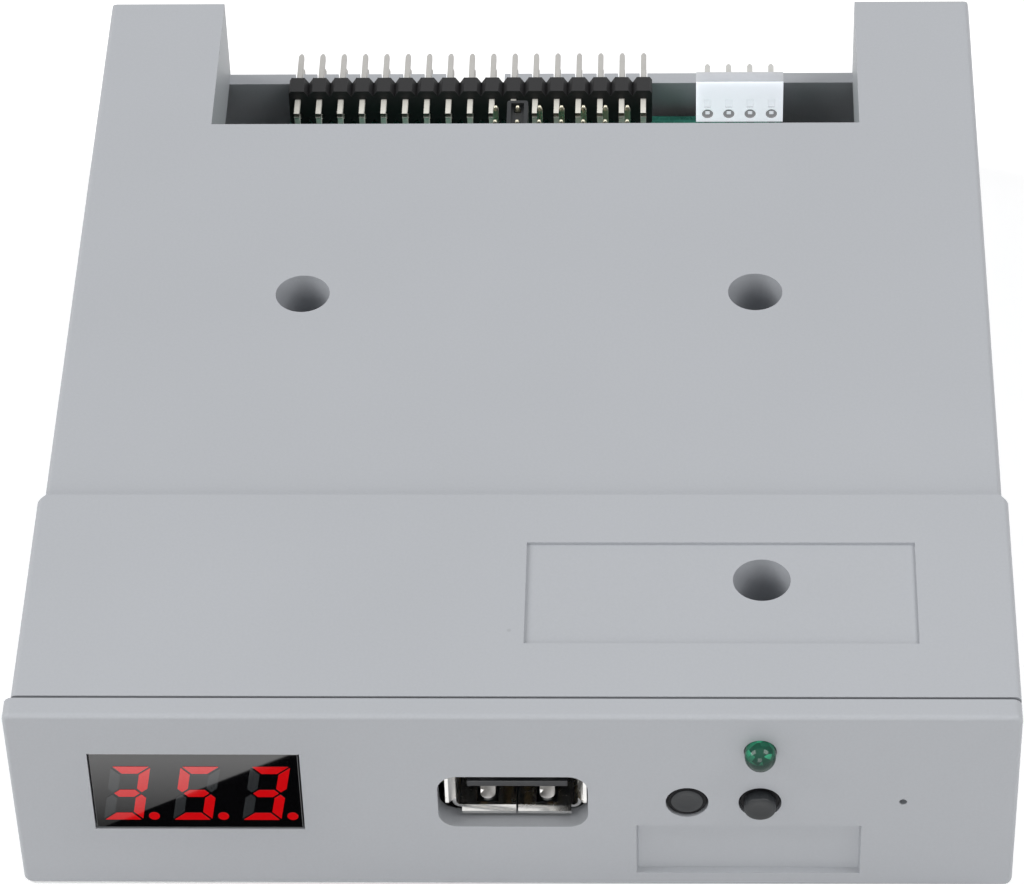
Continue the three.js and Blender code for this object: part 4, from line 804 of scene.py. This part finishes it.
def copied(piece, name, across, back=0):
    """A copy of a piece, moved by millimetres."""
    alone(piece)
    bpy.ops.object.duplicate()
    copy = bpy.context.active_object
    copy.name = name
    bpy.ops.transform.translate(value=(across * MM, back * MM, 0))
    bpy.ops.object.transform_apply(location=True)
    return copy


for row, height, leg in (("lower", LOWER_ROW, 108.35), ("upper", UPPER_ROW, 105.81)):
    pin = bent_wire(f"header_pin_{row}_01", -28.18, 0.64, 117.4, height, leg, LEG_FOOT, 0.9)
    tipped(pin, lambda mid, normal: normal.dot(ALONG) > ALIGNED and mid.y > 117, ALONG,
           (0.45, 1, 0.45))
    softened(pin, 0.05, 1)
    copies = [copied(pin, f"header_pin_{row}_{way + 1:02d}", way * PIN_PITCH)
              for way in range(1, WAYS)]
    for way, pin in enumerate([pin] + copies, 1):
        dress(pin, pin_look, nodes=[f"ribbon_pin_{row}_{way:02d}"])

# Power connector: a white nylon moulding with an upright wall, an open shroud and four tinned
# pins, whose roots show in round recesses in front. Its front faces and its recesses have a painted
# glow, seen by the camera only, and the recess walls are painted darker as painted shade.
POWER_WAYS = (20, 22.5, 25, 27.5)
POWER_FACE = 109.65
RECESS_HEIGHT = 11.1
power = block("power_socket", (18.65, 28.85), (POWER_FACE, 111.45), (BOARD_TOP, 16))
shroud = block("shroud", (19, 28.5), (110.65, 113.8), (BOARD_TOP, 13.1))
combined(shroud, [block("cavity", (19.6, 27.9), (111.45, 115), (10.5, 14))])
combined(power, [shroud], "UNION")
for x in POWER_WAYS:
    combined(power, [
        bar("recess", 0.66, (x, 108, RECESS_HEIGHT), 2.1, "Y"),
        block("rib_gap", (x - 0.4, x + 0.4), (109, 109.75), (12.1, 13.3))])
softened(power, 0.12, 2)
nylon = finish("white_nylon", moulded, {
    "Tone": (0.58, 0.6, 0.64, 1), "Drift": 0.02, "Grain": 1500.0, "Specks": 0.05,
    "Roughness": 0.38}, **{
        "Subsurface Weight": 1.0, "Subsurface Radius": (1, 1, 1), "Subsurface Scale": 0.002})
painted_recess_shade = finish("painted_recess_shade", moulded, {
    "Tone": (0.24, 0.24, 0.25, 1), "Drift": 0.05, "Grain": 1500.0, "Specks": 0.05,
    "Roughness": 0.45})
for look, painted_glow in ((nylon, 1.1), (painted_recess_shade, 0.8)):
    tree = look.node_tree
    shader = node_of(tree, "BSDF_PRINCIPLED")
    tree.links.new(node_of(tree, "GROUP").outputs["Colour"], shader.inputs["Emission Color"])
    # Painted glow: an emission that only the camera sees. On the white nylon it grows as a face
    # looks more to the front.
    seen = put(tree, "ShaderNodeLightPath").outputs["Is Camera Ray"]
    if look == nylon:
        normal = put(tree, "ShaderNodeNewGeometry").outputs["Normal"]
        to_front = put(tree, "ShaderNodeVectorMath", {0: normal, 1: (0, -1, 0)},
                       operation="DOT_PRODUCT").outputs["Value"]
        seen = calc(tree, "MULTIPLY", seen, to_front, use_clamp=True)
    tree.links.new(calc(tree, "MULTIPLY", seen, painted_glow), shader.inputs["Emission Strength"])
dress(power, nylon, nodes=["power_connector"])
power.data.materials.append(painted_recess_shade)
# Faces inside the recesses take the painted recess shade.
for face in power.data.polygons:
    mid = place_of(face.center)
    to_pin = min(math.hypot(mid.x - x, mid.z - RECESS_HEIGHT) for x in POWER_WAYS)
    face.material_index = int(109.72 < mid.y < 110.3 and to_pin < 0.72)
# The pins' roots are drawn in the glowing nylon: a painted highlight for the tinned roots.
for count, x in enumerate(POWER_WAYS, 1):
    root = block(f"power_root_{count}", (x - 0.27, x + 0.27), (109.85, 110.18), (10.83, 11.37))
    softened(root, 0.05, 1)
    dress(root, nylon)
for count, x in enumerate(POWER_WAYS, 1):
    blade = block(f"power_pin_{count}", (x - 0.32, x + 0.32), (110.2, 116.1), (12.48, 13.12))
    tipped(blade, lambda mid, normal: normal.dot(ALONG) > ALIGNED, ALONG, (0.35, 1, 0.4))
    leg = block("leg", (x - 0.32, x + 0.32), (110.2, 110.84), (LEG_FOOT, 12.9))
    combined(blade, [leg], "UNION")
    softened(blade, 0.05, 1)
    dress(blade, tinned)

# Jumper header: two rows of seven upright pins in a notched black base, soldered in front of the
# ribbon header. One black cap with a window in its top bridges the second pair.
JUMPER_TOP = 12.4
JUMPER_COLUMNS = 7
JUMPER_START = -5.82
jumper = block("jumper_base", (JUMPER_START, 11.96), (98.69, 103.77), (BOARD_TOP, JUMPER_TOP))
combined(jumper, [
    notches(JUMPER_START, JUMPER_COLUMNS + 1, (98, 105), height, 0.4, 0.4)
    for height in (JUMPER_TOP, BOARD_TOP)])
softened(jumper, 0.06, 2)
dress(jumper, header_black, nodes=["jumper_header"])
post = block("jumper_pin_01", (-4.87, -4.23), (102.18, 102.82), (7.7, 17.8))
for side in (-1, 1):
    tipped(post, lambda mid, normal: normal.dot(UPRIGHT) * side > ALIGNED, side * UPRIGHT,
           (0.45, 0.45, 1))
softened(post, 0.05, 1)
posts = [post]
for count in range(1, 2 * JUMPER_COLUMNS):
    row, column = divmod(count, JUMPER_COLUMNS)
    posts.append(copied(
        post, f"jumper_pin_{count + 1:02d}", column * PIN_PITCH, -row * PIN_PITCH))
jumper_plate = finish("jumper_gold", metal, {
    "Tone": (0.8, 0.76, 0.6, 1), "Rub": 0.15, "Roughness": 0.25}, Metallic=1.0)
for post in posts:
    dress(post, jumper_plate)
cap = block("jumper_cap_body", (-3.22, -0.8), (98.85, 103.61), (JUMPER_TOP, 18.3))
rounded(cap, lambda mid, way: abs(way.dot(UPRIGHT)) > ALIGNED, 0.35, 3)
combined(cap, [
    *[block("cap_hole", (-2.41, -1.61), back, (11, 20)) for back in (
        (102.1, 102.9), (99.56, 100.36))],
    block("cap_window", (-2.75, -1.27), (99.3, 103.15), (17.7, 20))])
softened(cap, 0.1, 2)
dress(cap, button_plastic, nodes=["jumper_cap"])

# Top cover: the upper half of the case, of the same plastic, snapped and screwed to the shell. Its
# front is raised; three deep wells take the case screws, and the cable bay is cut from its rear.
top_cover, cover_front = case_half("top_cover", PARTING, FRONT_TOP, REAR_TOP)
for half, top in ((top_cover, REAR_TOP), (cover_front, FRONT_TOP)):
    rounded(half, lambda mid, way: lengthwise(mid, way) and mid.z > top - 0.1, 0.6)
combined(top_cover, [cover_front], "UNION")
combined(top_cover, [
    block("hollow", HOLLOW, (1.8, 112), (13, 22.55)),
    block("front_hollow", HOLLOW, (1.8, 29.4), (21.5, 23.4))])
combined(top_cover, [
    block("ear_wall", (-38.17, BAY_SIDES[0]), (BAY_ENDS[0], 112.5), (PARTING, 24)),
    block("ear_wall", (BAY_SIDES[1], 38.83), (BAY_ENDS[0], 112.5), (PARTING, 24))], "UNION")
combined(top_cover, [block("bay", BAY_SIDES, BAY_ENDS, (12, 30))])
for (x, y, top), off_x, off_y in zip(WELLS, (0, 0, 0.2), (0, 0.2, 0.25)):
    well_wall = bar("well_wall", 4.25, (x, y, BOARD_TOP), top - 1 - BOARD_TOP, sides=48)
    combined(top_cover, [well_wall], "UNION")
    combined(top_cover, [
        bar("well", 2.95, (x + off_x, y + off_y, 11.9), 20, sides=48),
        bar("screw_hole", 1.7, (x, y, 8), 8)])
lip_room = block("lip_room", (-48.52, 49.18), (1.8, 112.95), (13, 15.35))
combined(lip_room, [block("kept", HOLLOW, (0.8, 112), (10, 20))])
combined(top_cover, [
    lip_room, block("label_field", (1.1, 40.9), (10.1, 24.4), (25.05, 27)),
    *hook_pockets(22.4, 24.05)])
softened(top_cover, 0.15)
dress(top_cover, case_plastic, nodes=["top_cover"])

# Case screws: zinc-plated self-tapping screws with a cross recess, one at the bottom of each well.
zinc = finish("zinc_plate", metal, {
    "Tone": (0.45, 0.46, 0.48, 1), "Rub": 0.3, "Roughness": 0.32}, Metallic=1.0)
for name in ("case_screw_rear_left", "case_screw_rear_right", "case_screw_front"):
    dress_node(name, zinc)

# Bezel: the clip-on front of the same plastic, with a display window, a USB mouth, holes for the
# lamp and the buttons, a pin hole and a shallow label field. A rim and four hooks hold it.
RIM = (2.25, 23.15)  # its lower and its upper face
bezel = block("bezel", (-50.8, 50.8), (0, 2.5), (0, FRONT_TOP))
rounded(bezel, lengthwise, 0.9)
pick_faces(bezel, ahead)
bpy.ops.mesh.bevel(offset=0.5 * MM, offset_type="OFFSET", segments=4, affect="EDGES")
done()
rim = block("rim", (-47.32, 47.98), (1.25, 5.7), RIM)
combined(rim, [block("rim_room", (-46.12, 46.78), (-1, 8), (3.45, 21.95))])
combined(bezel, [rim], "UNION")
for x in HOOKS:
    for side, skin in ((1, RIM[1]), (-1, RIM[0])):
        hook = block("hook", (x - 4, x + 4), (4.5, 7.1), sorted((skin, skin - side * 1.2)))
        nose = block("nose", (x - 4, x + 4), (5.7, 7.1), sorted((skin + side * 0.6, skin - side)))
        pick_edges(nose, lambda mid, way: mid.y > 7 and (mid.z - skin) * side > 0.5)
        bpy.ops.transform.translate(value=(0, 0, -side * 0.7 * MM))
        done()
        combined(hook, [nose], "UNION")
        combined(bezel, [hook], "UNION")
field = block("label_field", (12.6, 35), (-0.15, 0.62), (2.15, 9.05))
pick_faces(field, ahead)
bpy.ops.transform.resize(value=(1.022, 1, 1.07))
done()
mouth = block("mouth", (-7.65, 7.55), (-1, 9), (9, 16.5))
rounded(mouth, lengthwise, 2.0, 8)
combined(bezel, [
    block("window", (-42.7, -21.3), (-1, 9), (8.5, 19.8)), mouth,
    *[bar("button_hole", 2.17, (x, -1, BUTTON_HEIGHT), 10, "Y", 48)
      for x in (LEFT_BUTTON, RIGHT_BUTTON)],
    bar("lamp_hole", 1.64, (LAMP_ACROSS, -1, LAMP_HEIGHT), 10, "Y", 40),
    bar("flange_room", 2.0, (LAMP_ACROSS, 2.5, LAMP_HEIGHT), 10, "Y", 40),
    bar("pin_hole", 0.4, (39.3, -1, 12.9), 10, "Y", 20),
    field])
softened(bezel, 0.12)
dress(bezel, case_plastic, nodes=["bezel"])

# Floor: a plain white table, just under the drive. It is clear from below, and so it is to the
# short diffuse rays of the underside, so that the underside is lit and can be looked at.
bpy.ops.object.select_all(action="DESELECT")
bpy.ops.mesh.primitive_plane_add(size=6, location=(0, 0, -0.00005))
floor = settled("floor")
floor_look = bpy.data.materials.new("floor_white")
tree = emptied(floor_look)


def to_eye(tree):
    """1 for a ray from the camera, also mirrored or passed through; 0 for one that lights."""
    rays = put(tree, "ShaderNodeLightPath").outputs
    direct = calc(tree, "MAXIMUM", rays["Is Camera Ray"], rays["Is Glossy Ray"])
    return calc(tree, "MAXIMUM", direct, rays["Is Transmission Ray"])


matt = put(tree, "ShaderNodeBsdfDiffuse", {"Color": (0.8, 0.8, 0.8, 1)})
glow = put(tree, "ShaderNodeEmission", {"Color": (1, 1, 1, 1), "Strength": 0.42})
none = put(tree, "ShaderNodeEmission", {"Color": (0, 0, 0, 1), "Strength": 0.0})
lift = put(tree, "ShaderNodeMixShader", {
    0: to_eye(tree), 1: none.outputs[0], 2: glow.outputs[0]})
both = put(tree, "ShaderNodeAddShader", {0: matt.outputs[0], 1: lift.outputs[0]})
rays = put(tree, "ShaderNodeLightPath").outputs
short = calc(tree, "LESS_THAN", rays["Ray Length"], 0.0002)
lit_below = calc(tree, "MULTIPLY", short, rays["Is Diffuse Ray"])
from_below = put(tree, "ShaderNodeNewGeometry").outputs["Backfacing"]
window = put(tree, "ShaderNodeBsdfTransparent")
floor_mix = put(tree, "ShaderNodeMixShader", {
    0: calc(tree, "MAXIMUM", from_below, lit_below), 1: both.outputs[0], 2: window.outputs[0]})
put(tree, "ShaderNodeOutputMaterial", {"Surface": floor_mix.outputs[0]})
floor.data.materials.append(floor_look)

# Shade card: a small card laid before the display, which only shows in its glossy face as a
# painted reflection: black beyond a slanted edge, and elsewhere a painted shadow of the drive on
# the table, which deepens towards the drive.
bpy.ops.object.select_all(action="DESELECT")
low, high = at(-47.5, -21, 0.2), at(-21, -6.5, 0.2)
bpy.ops.mesh.primitive_plane_add(size=1, location=(low + high) / 2)
bpy.context.active_object.scale = (high.x - low.x, high.y - low.y, 1)
card = settled("shade_card")
card_look = bpy.data.materials.new("card_shade")
tree = emptied(card_look)
spot = put(tree, "ShaderNodeTexCoord").outputs["Object"]
spot_axes = put(tree, "ShaderNodeSeparateXYZ", {0: spot})
beyond = put(tree, "ShaderNodeVectorMath", {0: spot, 1: (-0.481, -0.8767, 0)},
             operation="DOT_PRODUCT").outputs["Value"]
black = steps_of(tree, beyond, 1, 0, 0.0771, 0.0774)
painted_table_shadow = steps_of(tree, spot_axes.outputs["Y"], 0.1, 0.85, -0.0738, -0.0648)
shade = calc(tree, "MAXIMUM", black, painted_table_shadow)
clear = put(tree, "ShaderNodeBsdfTransparent")
dark = put(tree, "ShaderNodeBsdfDiffuse", {"Color": (0.002, 0.002, 0.002, 1)})
card_mix = put(tree, "ShaderNodeMixShader", {
    0: shade, 1: clear.outputs[0], 2: dark.outputs[0]})
put(tree, "ShaderNodeOutputMaterial", {"Surface": card_mix.outputs[0]})
card.data.materials.append(card_look)
card.visible_camera = False
card.visible_diffuse = False
card.visible_transmission = False
card.visible_shadow = False

# World and lights: white all round to the camera and in reflections, but dim as a light; big soft
# lights on both sides and a smaller one in front.
world = bpy.data.worlds.new("studio")
bpy.context.scene.world = world
tree = emptied(world)
ambient = put(tree, "ShaderNodeBackground", {"Color": (1, 1, 1, 1), "Strength": 0.22})
white = put(tree, "ShaderNodeBackground", {"Color": (1, 1, 1, 1), "Strength": 1.0})
sky = put(tree, "ShaderNodeMixShader", {
    0: to_eye(tree), 1: ambient.outputs[0], 2: white.outputs[0]})
put(tree, "ShaderNodeOutputWorld", {"Surface": sky.outputs[0]})

for name, place, size, power, turn in (
        ("left_light", (-1.0, 0.0, 0.85), 0.8, 10.5, (0, -50, 0)),
        ("right_light", (0.8, -0.05, 1.0), 0.7, 8.5, (0, 38, 0)),
        ("front_light", (-0.1, -1.3, 0.45), 0.7, 5.7, (71, 0, -4))):
    bpy.ops.object.light_add(
        type="AREA", location=place, rotation=[math.radians(t) for t in turn])
    lamp = bpy.context.active_object
    lamp.name = name
    lamp.data.shape = "SQUARE"
    lamp.data.size = size
    lamp.data.energy = power

bpy.context.scene.view_settings.view_transform = "Standard"
